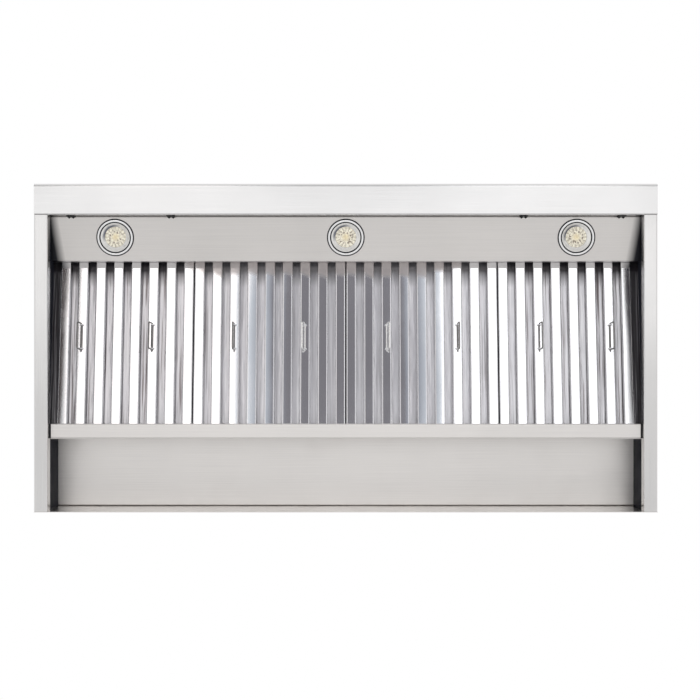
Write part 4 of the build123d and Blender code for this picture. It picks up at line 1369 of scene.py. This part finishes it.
class HOOD_OT_blower(bpy.types.Operator):
    """Builds the impeller with its curved blades, and the motor"""

    bl_idname = "hood.blower"
    bl_label = "Blower"

    def execute(self, context):
        """Curves one blade, sets it round both sides of the disc and turns the motor."""
        blower = context.scene.hood_blower
        radius = blower.impeller_radius / MM
        axle = at(*BLOWER_AXIS) @ turn(pi / 2, "Y")
        lean = at(radius - 7.2, 0, 0) @ turn(radians(28), "Z")
        turns = [turn(2 * pi * i / blower.blades, "Z") @ lean for i in range(blower.blades)]
        flipped = [spot @ at(0, 0, -BLADE_LENGTH - 2 * BLADE_START) for spot in turns]
        blades = repeated(self.blade(), turns + flipped, "Blades")
        end = BLADE_START + BLADE_LENGTH
        deep, thick = 12, 1.5
        rings = [turned("Ring", [(radius - deep, z), (radius - deep, z + thick),
                                 (radius, z + thick), (radius, z)], 96)
                 for z in (end, -end - thick)]
        wheel = joined([blades, *rings], "Impeller_blades")
        place(wheel, axle)
        settle(wheel, "zinc", "rotor", "galvanised_sheet", "impeller_blades")

        disc = turned("Impeller", [
            (5.05, -15), (9, -15), (12, -13), (12, -3), (16, -0.75), (radius, -0.75),
            (radius, 0.75), (16, 0.75), (12, 3), (12, 13), (9, 15), (5.05, 15),
        ], 96)
        smooth(disc, 30)
        place(disc, axle)
        settle(disc, "zinc", "rotor", "galvanised_sheet", "impeller")

        body = turned("Motor", [
            (5.3, -20.5), (11, -20), (11, -23), (30, -24), (39, -26), (43.6, -31), (43.6, -44),
            (45, -45), (45, -62), (44, -63), (44, -69), (45, -70), (45, -103), (43, -107),
            (36, -110.5), (12, -111.5), (11, -112), (5.3, -112),
        ], 96)
        smooth(body, 32)
        place(body, axle)
        settle(body, "motor", "hood", "motor_paint", "motor")
        return {"FINISHED"}

    def blade(self):
        """One blade, curved across its depth, that stands on the disc's upper side."""
        depth, arch, steps = 13, 2.6, 6
        deselect()
        bpy.ops.mesh.primitive_grid_add(x_subdivisions=steps, y_subdivisions=1, size=1)
        blade = bpy.context.object
        blade.scale = (depth * MM, BLADE_LENGTH * MM, 1)
        blade.rotation_euler = (pi / 2, 0, 0)
        blade.location = (0, 0, (BLADE_START + BLADE_LENGTH / 2) * MM)
        blade = started("Blade")
        for step in range(1, steps):
            share = 2 * step / steps - 1
            pick(blade, "VERT", lambda co: abs(co.x - share * depth / 2 * MM) < NEAR)
            shift(0, arch * (1 - share * share), 0)
        leave_edit()
        modify(blade, "SOLIDIFY", thickness=0.8 * MM, offset=0.0)
        smooth(blade, 40)
        return blade


class HOOD_PT_sidebar(bpy.types.Panel):
    """Lists the settings and the steps in the 3D view's sidebar"""

    bl_label = "Hood Insert"
    bl_idname = "HOOD_PT_sidebar"
    bl_space_type = "VIEW_3D"
    bl_region_type = "UI"
    bl_category = "Hood Insert"

    def draw(self, context):
        """Shows every setting, then a button for each step."""
        for name, kind in SETTINGS.items():
            rows = self.layout.box()
            for setting in kind.__annotations__:
                rows.prop(getattr(context.scene, name), setting)
        for step in STEPS:
            self.layout.operator(step.bl_idname)


finishes = {}
SETTINGS = {
    "hood_stage": StageSettings,
    "hood_lamps": LampSettings,
    "hood_filters": FilterSettings,
    "hood_duct": DuctSettings,
    "hood_blower": BlowerSettings,
    "hood_finishes": FinishSettings,
}
STEPS = (
    HOOD_OT_stage,
    HOOD_OT_finishes,
    HOOD_OT_lamps,
    HOOD_OT_filters,
    HOOD_OT_pulls,
    HOOD_OT_casing,
    HOOD_OT_duct,
    HOOD_OT_fixings,
    HOOD_OT_wiring,
    HOOD_OT_blower,
)


def register():
    """Makes the settings, the steps and the sidebar known to Blender."""
    for kind in (*SETTINGS.values(), *STEPS, HOOD_PT_sidebar):
        bpy.utils.register_class(kind)
    for name, kind in SETTINGS.items():
        setattr(bpy.types.Scene, name, PointerProperty(type=kind))


def unregister():
    """Takes them all away again."""
    for name in SETTINGS:
        delattr(bpy.types.Scene, name)
    for kind in reversed((*SETTINGS.values(), *STEPS, HOOD_PT_sidebar)):
        bpy.utils.unregister_class(kind)


def main():
    """Runs every step in order."""
    register()
    for step in STEPS:
        area, name = step.bl_idname.split(".")
        getattr(getattr(bpy.ops, area), name)()
    deselect()


if __name__ == "__main__":
    main()
